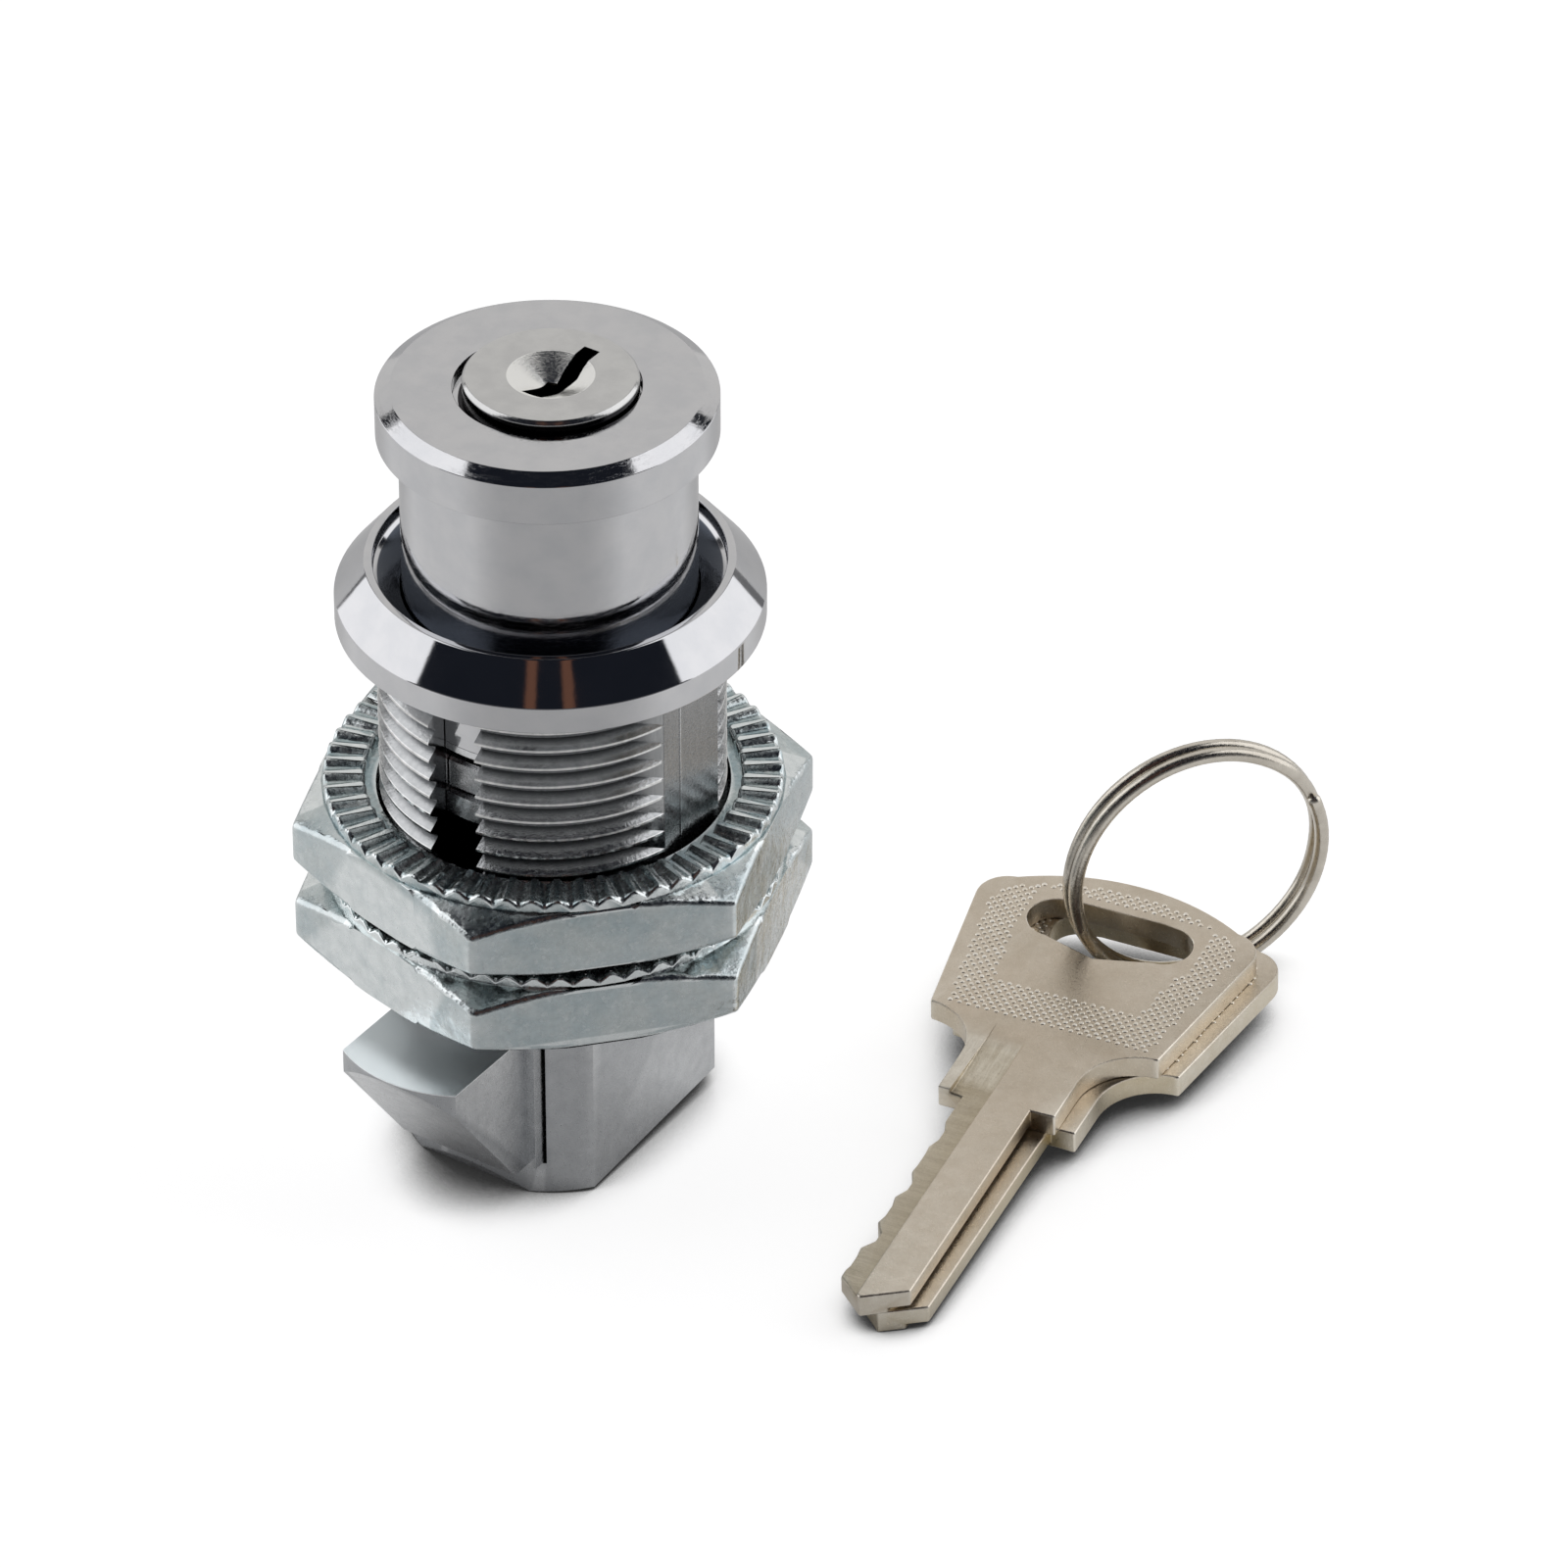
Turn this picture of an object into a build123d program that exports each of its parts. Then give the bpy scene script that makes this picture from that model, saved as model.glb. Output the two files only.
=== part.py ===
# Push-button slam latch for a panel, with a wafer key lock in its button, two
# hexagon nuts, and its two keys on a split ring.
#
# Frame: the origin is on the lock's axis in the plane of the bezel's underside,
# where the panel seats. +Z points out of the panel at the user, and the latch
# bolt is thrown along -Y. Millimetres.
from build123d import *
import os
from math import cos, radians, sin, sqrt, tan

# ---- driving dimensions: travel ----------------------------------------
stroke = 12.0                 # how far the button is pushed in
throw = 10.2                  # how far the bolt is drawn back by that push
pawl_travel = 1.6             # how far the locking pawl steps out

# ---- clearances --------------------------------------------------------
slide_clear = 0.08            # radial, button in barrel and plug in button
flat_clear = 0.10             # each side, flat slides
free_clear = 0.30             # between pieces that must never meet
seat_clear = 0.05             # a fixed piece in its seat
pin_clear = 0.10              # cam pin in the pawl's slot
clip_clear = 0.02             # E-clip in its groove
over = 1.0                    # how far a cutting shape runs past what it cuts

# ---- barrel and bezel --------------------------------------------------
thread_r = 13.5               # outside, over the crests
thread_depth = 0.92
barrel_wall = 2.02            # from the thread's crests to the bore
barrel_end_z = -29.0
barrel_chamfer = 0.8
flat_half_angle = 15.5        # degrees of thread cut away at each side flat
bezel_reach = 3.1             # how far the bezel stands out past the thread
bezel_band_h = 2.2
rim_reach = 0.7               # how far the rim's edge stands out past the thread
rim_z = 5.15
rim_land = 0.6
rim_wall_h = 0.95             # short upright wall inside the rim
dish_z = 2.7                  # where the dish meets the bore
window_w = 4.3                # slot in the barrel's front that the pawl runs in
window_top_z = -0.3
window_bottom_z = -24.0

# ---- nuts --------------------------------------------------------------
nut_af = 36.0
nut_h = 5.6
nut_chamfer_face_r = 18.1
nut_chamfer_drop = 1.15       # at the corners
nut_bore_clear = 0.30
front_nut_top_z = -15.7
rear_nut_top_z = -22.8
front_nut_turn = 17.2         # degrees, a corner's azimuth from -Y
rear_nut_turn = 17.5
teeth = 56
teeth_h = 0.55
teeth_boss_h = 0.5            # how far the ring of teeth stands above the nut's face
teeth_inner_r = 14.65
teeth_outer_r = 17.95
teeth_turn = 2.9              # degrees, a groove's azimuth from a corner
groove_w = 1.45
nut_travel = 13.6

# ---- push button -------------------------------------------------------
head_r = 13.1
head_top_r = 11.9
head_top_z = 20.6
head_chamfer_z = 19.9
head_under_z = 16.6
head_under_chamfer = 0.5
neck_end_z = -6.5
plug_face_gap = 0.45          # dark line round the plug's face
plug_seat_depth = 1.0

# ---- key plug ----------------------------------------------------------
plug_face_r = 6.75
plug_face_z = 21.75
plug_face_round = 0.35
plug_r = 5.0
plug_end_z = -7.25
cone_r = 3.4
cone_depth = 0.9
keyway_l = 8.3
keyway_w = 2.3
keyway_ward = 0.6             # how far the wards jut into the keyway
wafer_window_w = 2.7
wafer_window_l = 7.4
wafer_count = 6
wafer_t = 0.8
wafer_gap = 0.05
wafer_pitch = 2.7
wafer_top_z = 16.0
wafer_half_w = 2.6
wafer_spring_r = 0.55
wafer_spring_wire = 0.22      # square, as in all the springs
wafer_spring_gap = 0.35       # between wafer and spring
wafer_spring_l = 3.2
wafer_spring_turns = 3
clip_t = 0.6
clip_r = 6.3
clip_groove_depth = 0.8
clip_mouth_angle = 44         # half of the clip's opening, degrees
cam_t = 0.7
cam_r = 4.4
cam_square = 3.2
cam_socket = 0.4              # depth of the square socket
cam_pin_r = 0.9

# ---- button carrier, pawl and stem -------------------------------------
carrier_end_z = -13.0
pawl_top_z = -8.1
pawl_bottom_z = -11.0
pawl_w = 4.0
pawl_sink = 0.5               # how far the unlocked pawl stays inside the neck's radius
pawl_rear = 3.4
pawl_chamfer = 0.25
guide_w = 2.2                 # keyway that the stop pin runs in
guide_depth = 1.1
guide_floor_z = -12.0
stop_pin_r = 1.0
screw_r = 0.9
screw_head_r = 1.6
screw_head_h = 0.9
screw_slot_w = 0.4
screw_edge = 1.9              # from a screw's centre to the neck's surface
screw_azimuth = 30.3          # degrees from +X; the other screw is opposite
screw_l = 10.0
stem_half_w = 2.5
stem_tip_t = 1.5
stem_tip_z = -31.5
stem_rear_y = -0.5            # rear edge of the stem's tip
tang_front_y, tang_rear_y = 4.9, 8.7
tang_top_z = -8.3
stem_pin_r = 0.8
stem_pin_sink = 1.3           # its ends, below the carrier's surface
return_spring_edge = 0.4      # metal left between a spring's well and the housing's flat
return_spring_r = 2.3
return_spring_wire = 0.8
coil_runs = 12                # straight runs in one turn of a return spring
small_coil_runs = 8           # and of the small springs
return_spring_turns = 7
return_spring_up = 3.4        # depth of the pocket in the carrier

# ---- bolt housing ------------------------------------------------------
housing_step = 1.0            # how far the housing is set in from the thread
housing_flat = 9.3
floor_z = -46.7               # lowest edge of the housing
housing_slant = 4.6           # degrees, underside rising towards the back
spigot_h = 3.0
housing_wall = 1.1            # behind the bolt
spring_seat_z = -29.6
dowel_r = 1.0
dowel_z = -27.5
dowel_l = 2.46
dowel_sink = 0.6              # its outer end, below the barrel's flat

# ---- latch bolt --------------------------------------------------------
bolt_top_z = -31.2
bolt_bottom_z = -43.7
bolt_half_w = 6.2
bolt_side_clear = 0.22        # the dark line between the bolt and its housing
nose_half_w = 5.35
nose_root_y = -12.8            # where the raised catching face begins
nose_step = 0.1               # how far it stands above the bolt's tail
shoulder_y = -11.9
nose_corner_y = -21.1
nose_y = -22.55
bevel_z = -33.3               # where the bevel starts, at the nose's corners
bevel_foot_y = -13.5          # where it ends, at the bolt's underside
bolt_rear_gap = 0.2           # left behind the bolt when it is drawn back
ramp_clear = 0.08
bolt_spring_x = 4.6
bolt_spring_r = 1.1
bolt_spring_wire = 0.34
bolt_spring_turns = 9
bolt_spring_pocket_y = -9.0

# ---- keys and ring -----------------------------------------------------
key_t = 2.0
key_gap = 0.03
key_tip_xy = (36.95, -10.74)
key_heading = 9.8             # degrees, from +Y towards -X
key_tilt = 2.86               # degrees, bow end raised by the ring under it
key_tip = 1.3                 # how far the point reaches before the tip's datum
point_l = 2.2                 # length of the point
point_off = 0.4               # its tip, off the blade's middle
blade_half_w = 2.93
blade_stop = 24.4
neck_half_w = 5.0
neck_round = 4.9
bow_foot = 34.0
bow_foot_half_w = 9.8
bow_side = 48.3
bow_side_half_w = 12.0
bow_corner = 3.0              # reach of the bow's rounded outer corners, along
bow_corner_in = 2.34          # and across
bow_top = 53.9
slot_top = 50.1
slot_foot = 43.9
slot_half_l = 7.0
slot_top_half_l = 3.7
slot_end = 47.6
slot_end_r = 2.35
mill_depth = 0.45
mill_edge = -0.8
mill_end = 26.0               # where the mill starts to run out
mill_runout = 7.5
rib_w = 1.5
lower_key_shift = (1.0, 1.1)  # along and across, how the lower key peeps out
lower_key_turn = -0.5
cut_depths = (0.15, 0.75, 0.25, 0.55, 0.1, 0.4)
cut_pitch = 3.3
cut_start = 3.0
cut_flat = 1.0
ring_r = 10.65
ring_wire = 1.2
wire_sides = 8                # flats round the ring's wire
ring_gap = 0.02
ring_at = (52.6, 4.9)         # plan place of the ring's centre, along and across
ring_yaw = 45.5               # degrees between the ring's plane and the key

# ---- derived -----------------------------------------------------------
bore_r = thread_r - barrel_wall
neck_r = bore_r - slide_clear
thread_root_r = thread_r - thread_depth
flat_x = thread_r * cos(radians(flat_half_angle))
bezel_r = thread_r + bezel_reach
rim_r = thread_r + rim_reach
plug_seat_r = plug_face_r + plug_face_gap
wafer_spring_x = wafer_half_w + wafer_spring_gap + wafer_spring_r
cam_pin_azimuth = 45.0        # unlocked; a quarter turn swings it to the other side
cam_pin_e = pawl_travel / (2 * sin(radians(cam_pin_azimuth)))
cam_pin_bottom_z = pawl_bottom_z + free_clear
pawl_front = neck_r - pawl_sink
screw_circle_r = neck_r - screw_edge
screw_top_z = carrier_end_z + screw_l
stop_pin_z = guide_floor_z + flat_clear + stop_pin_r
stem_slope = throw / stroke
stem_front_y = stem_rear_y - stem_tip_t
stem_pin_y = (tang_front_y + tang_rear_y) / 2
stem_pin_z = (tang_top_z + carrier_end_z) / 2
stem_pin_half = sqrt((neck_r - stem_pin_sink) ** 2 - stem_pin_y ** 2)
return_spring_x = housing_flat - return_spring_edge - free_clear - return_spring_r
housing_r = thread_r - housing_step
cavity_r = housing_r - housing_wall
dowel_out = flat_x - dowel_sink
dowel_in = dowel_out - dowel_l - seat_clear
bolt_rear_r = cavity_r - bolt_rear_gap
bolt_spring_z = (bolt_top_z + bolt_bottom_z) / 2
bevel_slope = (bevel_z - bolt_bottom_z) / (bevel_foot_y - nose_corner_y)


def box(x0, x1, y0, y1, z0, z1):
    """A block between two corners."""
    block = Box(x1 - x0, y1 - y0, z1 - z0, align=(Align.MIN, Align.MIN, Align.MIN))
    return Pos(x0, y0, z0) * block


def block(half_x, half_y, z0, z1):
    """A block centred on the axis."""
    return box(-half_x, half_x, -half_y, half_y, z0, z1)


def rod(radius, z0, z1, x=0.0, y=0.0):
    """A round bar along Z."""
    bar = Cylinder(radius, z1 - z0, align=(Align.CENTER, Align.CENTER, Align.MIN))
    return Pos(x, y, z0) * bar


def rod_x(radius, x0, x1, y, z):
    """A round bar along X."""
    return Pos(min(x0, x1), y, z) * Rot(0, 90, 0) * rod(radius, 0, abs(x1 - x0))


def rod_y(radius, y0, y1, x, z):
    """A round bar along Y."""
    return Pos(x, y0, z) * Rot(-90, 0, 0) * rod(radius, 0, y1 - y0)


def turned(points):
    """Revolve a closed (radius, z) outline about the lock's axis."""
    face = make_face(Polyline(*[(r, 0, z) for r, z in points], close=True))
    return revolve(face, Axis.Z)


def side_plate(points, half_w):
    """Extrude a closed (y, z) outline to both sides of the plane x = 0."""
    face = make_face(Polyline(*[(0, y, z) for y, z in points], close=True))
    return extrude(face, amount=half_w, dir=(1, 0, 0), both=True)


def coil(radius, wire, length, turns, turn_runs=small_coil_runs):
    """A spring of square wire along Z, from z = 0, in short straight runs."""
    corner = wire / sqrt(2)
    mean_r = radius - corner
    runs = turns * turn_runs
    rise = (length - 2 * corner) / runs
    points = []
    for k in range(runs + 1):
        angle = radians(360 / turn_runs * k)
        points.append((mean_r * cos(angle), mean_r * sin(angle), corner + rise * k))
    path = Polyline(*points)
    start = Plane(origin=path @ 0, x_dir=(1, 0, 0), z_dir=path % 0)
    return sweep(start * Rectangle(wire, wire), path=path, transition=Transition.RIGHT)


# ---- barrel ------------------------------------------------------------
def bezel_profile():
    """Outline of bezel and barrel, outside then inside."""
    return [
        (bore_r, barrel_end_z), (thread_r - barrel_chamfer, barrel_end_z),
        (thread_r, barrel_end_z + barrel_chamfer), (thread_r, 0), (bezel_r, 0),
        (bezel_r, bezel_band_h), (rim_r, rim_z), (rim_r - rim_land, rim_z),
        (rim_r - rim_land, rim_z - rim_wall_h), (bore_r, dish_z),
    ]


def lock_barrel():
    """Bezel and threaded barrel, one casting, with side flats and a front window."""
    barrel = turned(bezel_profile())
    for side in (-1, 1):
        near, far = sorted((side * flat_x, side * (thread_r + over)))
        barrel -= box(near, far, -thread_r, thread_r, barrel_end_z - over, 0)
        barrel -= rod_x(dowel_r + seat_clear, side * (bore_r - over), side * (thread_r + over),
                        0, dowel_z)
    barrel -= box(-window_w / 2, window_w / 2, -thread_r - over, -bore_r + over,
                  window_bottom_z, window_top_z)
    barrel -= rod_y(stop_pin_r + seat_clear, bore_r - over, thread_r + over, 0, stop_pin_z)
    return barrel


def stop_pin():
    """Pin through the barrel's back wall that keeps the button in."""
    inner = neck_r - guide_depth + flat_clear
    return rod_y(stop_pin_r, inner, thread_root_r - flat_clear, 0, stop_pin_z)


# ---- nuts --------------------------------------------------------------
def serrated_nut(top_z, turn):
    """Hexagon nut, chamfered both ways, with a ring of radial teeth on its face."""
    corner_r = nut_af / 2 / cos(radians(30))
    bottom_z = top_z - nut_h
    hexagon = Pos(0, 0, bottom_z) * Rot(0, 0, turn - 90) * extrude(
        RegularPolygon(corner_r, 6), nut_h)
    rim = corner_r + over
    slope = nut_chamfer_drop / (corner_r - nut_chamfer_face_r)
    drop = slope * (rim - nut_chamfer_face_r)
    cones = turned([
        (0, bottom_z), (nut_chamfer_face_r, bottom_z), (rim, bottom_z + drop),
        (rim, top_z - drop), (nut_chamfer_face_r, top_z), (0, top_z),
    ])
    foot_z = top_z - teeth_h
    crest_z = top_z + teeth_boss_h + teeth_h
    first = turn + teeth_turn
    ring = RegularPolygon(teeth_outer_r, teeth) - RegularPolygon(teeth_inner_r, teeth)
    ring = Pos(0, 0, foot_z) * Rot(0, 0, first) * extrude(ring, crest_z - foot_z)
    inside = teeth_inner_r - over
    groove = make_face(Polyline(
        (inside, -groove_w / 2, crest_z), (inside, groove_w / 2, crest_z),
        (inside, 0, crest_z - teeth_h), close=True))
    groove = extrude(groove, amount=teeth_outer_r + over - inside, dir=(1, 0, 0))
    grooves = [Rot(0, 0, first + 360 * k / teeth) * groove for k in range(teeth)]
    nut = (hexagon & cones) + ring.cut(*grooves)
    return nut - rod(thread_r + nut_bore_clear, bottom_z - over, crest_z + over)


# ---- push button -------------------------------------------------------
def guide_keyway():
    """Keyway up the back of carrier and neck, open to the stop pin's whole run."""
    top = stop_pin_z + stop_pin_r + stroke + free_clear
    return box(-guide_w / 2, guide_w / 2, neck_r - guide_depth, neck_r + over,
               guide_floor_z, top)


def screw_places():
    """Where the two carrier screws stand, on a diagonal."""
    x = screw_circle_r * cos(radians(screw_azimuth))
    y = screw_circle_r * sin(radians(screw_azimuth))
    return [(x, y), (-x, -y)]


def push_button():
    """Chromed button: wide head, long neck, and a bore for the key plug."""
    button = turned([
        (0, neck_end_z), (neck_r, neck_end_z), (neck_r, head_under_z),
        (head_r - head_under_chamfer, head_under_z),
        (head_r, head_under_z + head_under_chamfer), (head_r, head_chamfer_z),
        (head_top_r, head_top_z), (0, head_top_z),
    ])
    button -= rod(plug_seat_r, head_top_z - plug_seat_depth, head_top_z + over)
    button -= rod(plug_r + slide_clear, neck_end_z - over, head_top_z)
    button -= guide_keyway()
    for x, y in screw_places():
        button -= rod(screw_r + seat_clear, neck_end_z - over, screw_top_z + seat_clear, x, y)
    return button


def button_carrier():
    """Cage under the neck: houses cam and pawl, and holds stem and springs."""
    carrier = rod(neck_r, carrier_end_z, neck_end_z)
    carrier -= rod(clip_r + free_clear, pawl_top_z, neck_end_z + over)
    carrier -= box(-pawl_w / 2 - flat_clear, pawl_w / 2 + flat_clear, -neck_r - over,
                   pawl_rear + free_clear, pawl_bottom_z - flat_clear, pawl_top_z + over)
    carrier -= guide_keyway()
    carrier -= box(-stem_half_w - seat_clear, stem_half_w + seat_clear,
                   tang_front_y - seat_clear, tang_rear_y + seat_clear,
                   carrier_end_z - over, tang_top_z + seat_clear)
    pin_half = stem_pin_half + seat_clear
    carrier -= rod_x(stem_pin_r + seat_clear, -pin_half, pin_half, stem_pin_y, stem_pin_z)
    for side in (-1, 1):
        carrier -= rod(return_spring_r + free_clear, carrier_end_z - over,
                       carrier_end_z + return_spring_up, side * return_spring_x)
    for x, y in screw_places():
        carrier -= rod(screw_r + seat_clear, carrier_end_z - over, neck_end_z + over, x, y)
        carrier -= rod(screw_head_r + seat_clear, carrier_end_z - over,
                       carrier_end_z + screw_head_h + seat_clear, x, y)
    return carrier


def carrier_screws():
    """Two slotted screws that clamp the carrier to the neck."""
    screws = []
    for x, y in screw_places():
        head = rod(screw_head_r, carrier_end_z, carrier_end_z + screw_head_h, x, y)
        slot = box(x - screw_head_r, x + screw_head_r, y - screw_slot_w / 2,
                   y + screw_slot_w / 2, carrier_end_z - over,
                   carrier_end_z + screw_head_h / 2)
        shank = rod(screw_r, carrier_end_z + screw_head_h, screw_top_z, x, y)
        screws.append(head + shank - slot)
    return screws


# ---- key plug ----------------------------------------------------------
def keyway_outline():
    """Keyway seen from the face: a slot with a ward jutting in from either side."""
    half_w, end, jut = keyway_w / 2, keyway_l / 2, keyway_ward
    return make_face(Polyline(
        (-jut / 2, end), (half_w, end), (half_w, end / 2), (half_w - jut, end / 3),
        (half_w - jut, 0), (half_w, -jut), (half_w, -end), (-half_w, -end),
        (-half_w, -end / 3), (-half_w + jut, -jut), (-half_w + jut / 3, 0),
        (-jut / 2, end / 4), close=True))


def wafer_z(k):
    """Underside of wafer k, counted from the face."""
    return wafer_top_z - wafer_pitch * k


def key_plug():
    """Plug: raised face with a cone and keyway, wafer slots, clip groove and tang."""
    seat_z = head_top_z - plug_seat_depth + seat_clear
    plug = turned([
        (0, plug_end_z), (plug_r, plug_end_z), (plug_r, seat_z), (plug_face_r, seat_z),
        (plug_face_r, plug_face_z - plug_face_round),
        (plug_face_r - plug_face_round, plug_face_z),
        (cone_r, plug_face_z), (0, plug_face_z - cone_depth),
    ])
    depth = plug_face_z + over - wafer_z(wafer_count)
    plug -= Pos(0, 0, plug_face_z + over) * extrude(keyway_outline(), amount=-depth)
    spring_half = wafer_spring_l / 2 + wafer_gap
    spring_room = wafer_spring_r + wafer_gap
    for k in range(wafer_count):
        z = wafer_z(k)
        plug -= block(wafer_half_w + wafer_gap, plug_r + over, z - wafer_gap,
                      z + wafer_t + wafer_gap)
        middle = z + wafer_t / 2
        plug -= box(wafer_spring_x - spring_room, wafer_spring_x + spring_room,
                    -spring_half, spring_half, middle - spring_room, middle + spring_room)
    groove_top = neck_end_z - seat_clear
    groove_bottom = groove_top - clip_t
    plug -= rod(plug_r + over, groove_bottom, groove_top) - rod(
        plug_r - clip_groove_depth, groove_bottom - over, groove_top + over)
    return plug + block(cam_square / 2, cam_square / 2, plug_end_z - cam_socket, plug_end_z)


def plug_wafers():
    """Flat wafers with a window for the key."""
    plate = block(wafer_half_w, plug_r, 0, wafer_t) & rod(plug_r - seat_clear, 0, wafer_t)
    plate -= block(wafer_window_w / 2, wafer_window_l / 2, -over, wafer_t + over)
    return [Pos(0, 0, wafer_z(k)) * plate for k in range(wafer_count)]


def wafer_springs():
    """One small coil beside each wafer."""
    spring = coil(wafer_spring_r, wafer_spring_wire, wafer_spring_l, wafer_spring_turns)
    spring = Rot(-90, 0, 0) * spring
    return [Pos(wafer_spring_x, -wafer_spring_l / 2, wafer_z(k) + wafer_t / 2) * spring
            for k in range(wafer_count)]


def plug_clip():
    """E-clip in the plug's groove, under the neck's end."""
    top = neck_end_z - seat_clear - clip_clear
    bottom = top - clip_t + 2 * clip_clear
    hold_r = plug_r - clip_groove_depth + clip_clear
    clip = rod(clip_r, bottom, top) - rod(hold_r, bottom - over, top + over)
    mouth = hold_r * sin(radians(clip_mouth_angle))
    return clip - box(-mouth, mouth, 0, clip_r + over, bottom - over, top + over)


def plug_cam():
    """Cam disc on the plug's square tang, with the eccentric pin that moves the pawl."""
    disc = rod(cam_r, plug_end_z - cam_t, plug_end_z)
    half = cam_square / 2 + seat_clear
    disc -= block(half, half, plug_end_z - cam_socket - seat_clear, plug_end_z + over)
    x = cam_pin_e * cos(radians(cam_pin_azimuth))
    y = cam_pin_e * sin(radians(cam_pin_azimuth))
    return disc + rod(cam_pin_r, cam_pin_bottom_z, plug_end_z - cam_t, x, y)


def locking_pawl():
    """Flat pawl in the carrier's channel, slotted for the cam's pin."""
    top = pawl_top_z - flat_clear
    pawl = box(-pawl_w / 2, pawl_w / 2, -pawl_front, pawl_rear, pawl_bottom_z, top)
    near = cam_pin_e * cos(radians(cam_pin_azimuth))
    half = cam_pin_r + pin_clear
    pawl -= box(near - cam_pin_r - free_clear, cam_pin_e + cam_pin_r + free_clear,
                near - half, near + half, pawl_bottom_z - over, top + over)
    return chamfer(pawl.edges().filter_by(Axis.X).group_by(Axis.Y)[0], pawl_chamfer)


# ---- drive stem --------------------------------------------------------
def stem_face_y(z):
    """The stem's inclined rear face at height z, button at rest."""
    return stem_rear_y + stem_slope * (z - stem_tip_z)


def drive_stem():
    """Flat steel wedge under the carrier that draws the bolt back."""
    top_y = stem_rear_y + throw
    stem = side_plate([
        (stem_front_y, stem_tip_z), (stem_rear_y, stem_tip_z), (top_y, stem_tip_z + stroke),
        (top_y, carrier_end_z), (tang_rear_y, carrier_end_z), (tang_rear_y, tang_top_z),
        (tang_front_y, tang_top_z), (tang_front_y, carrier_end_z),
        (stem_front_y, carrier_end_z),
    ], stem_half_w)
    cross = stem_half_w + over
    return stem - rod_x(stem_pin_r + seat_clear, -cross, cross, stem_pin_y, stem_pin_z)


def stem_pin():
    """Cross pin through carrier and stem."""
    return rod_x(stem_pin_r, -stem_pin_half, stem_pin_half, stem_pin_y, stem_pin_z)


def return_springs():
    """Two springs that push the button out again."""
    bottom = spring_seat_z + seat_clear
    length = carrier_end_z + return_spring_up - seat_clear - bottom
    spring = coil(return_spring_r, return_spring_wire, length, return_spring_turns,
                  coil_runs)
    return [Pos(side * return_spring_x, 0, bottom) * spring for side in (-1, 1)]


# ---- bolt housing ------------------------------------------------------
def bevel_cut():
    """Everything in front of and below the plane of the bolt's bevel."""
    high = bolt_top_z - bevel_z + over
    top_y = nose_corner_y - high / bevel_slope
    low = bolt_bottom_z - floor_z + over
    foot_y = bevel_foot_y + low / bevel_slope
    return side_plate([
        (top_y, bevel_z + high), (foot_y, bolt_bottom_z - low),
        (top_y, bolt_bottom_z - low),
    ], housing_r + over)


def bolt_housing():
    """Lower casting: spigot in the barrel, cavity for the bolt, sloping underside."""
    spigot_top = barrel_end_z + spigot_h
    round_body = rod(housing_r, floor_z, barrel_end_z)
    flats = block(housing_flat, housing_r, floor_z, barrel_end_z)
    housing = (round_body & flats) - bevel_cut()
    behind = housing_r + over
    rise = tan(radians(housing_slant)) * (housing_r + behind)
    housing -= side_plate([
        (-housing_r, floor_z), (behind, floor_z + rise), (behind, floor_z - over),
        (-behind, floor_z - over),
    ], behind)
    housing += rod(neck_r, barrel_end_z, spigot_top)
    half = bolt_half_w + bolt_side_clear
    roof = bolt_top_z + flat_clear
    base = bolt_bottom_z - flat_clear
    housing -= rod(cavity_r, base, roof) & box(-half, half, 0, behind, base, roof)
    housing -= box(-half, half, -behind, 0, base, roof)
    well = stem_half_w + free_clear
    housing -= box(-well, well, stem_front_y - free_clear, stem_rear_y + throw + free_clear,
                   bolt_top_z - over, spigot_top + over)
    for side in (-1, 1):
        housing -= rod(return_spring_r + free_clear, spring_seat_z, spigot_top + over,
                       side * return_spring_x)
        housing -= rod_x(dowel_r + seat_clear, side * dowel_in, side * (neck_r + over),
                         0, dowel_z)
    return housing


def housing_dowels():
    """Two dowels through the barrel's flats into the spigot."""
    return [rod_x(dowel_r, side * (dowel_in + seat_clear), side * dowel_out, 0, dowel_z)
            for side in (-1, 1)]


# ---- latch bolt --------------------------------------------------------
def bolt_outline():
    """The bolt seen from above: narrow rounded nose, shoulders, wide tail."""
    tail_y = bolt_rear_r - throw
    sides = Polyline(
        (-nose_half_w, nose_corner_y), (-nose_half_w, shoulder_y),
        (-bolt_half_w, shoulder_y), (-bolt_half_w, tail_y), (bolt_half_w, tail_y),
        (bolt_half_w, shoulder_y), (nose_half_w, shoulder_y), (nose_half_w, nose_corner_y))
    nose = ThreePointArc((nose_half_w, nose_corner_y), (0, nose_y),
                         (-nose_half_w, nose_corner_y))
    return make_face(sides + nose)


def latch_bolt():
    """Bolt: flat top, bevelled rounded nose, shoulders, and a ramped window."""
    height = bolt_top_z - bolt_bottom_z
    bolt = Pos(0, 0, bolt_bottom_z) * extrude(bolt_outline(), height)
    low, high = bolt_bottom_z - over, bolt_top_z + over
    front = box(-bolt_half_w - over, bolt_half_w + over, nose_y - over, -throw, low, high)
    bolt = bolt & (rod(bolt_rear_r, low, high, 0, -throw) + front)
    bolt -= box(-bolt_half_w, bolt_half_w, nose_root_y, bolt_rear_r,
                bolt_top_z - nose_step, high)
    return bolt - bevel_cut() - stem_window() - spring_pockets()


def stem_window():
    """Window for the stem, whose rear wall is the ramp that the wedge pushes."""
    front = stem_front_y - throw - free_clear
    high, low = bolt_top_z + over, bolt_bottom_z - over
    return side_plate([
        (front, low), (front, high), (stem_face_y(high) + ramp_clear, high),
        (stem_face_y(low) + ramp_clear, low),
    ], stem_half_w + flat_clear)


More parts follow.
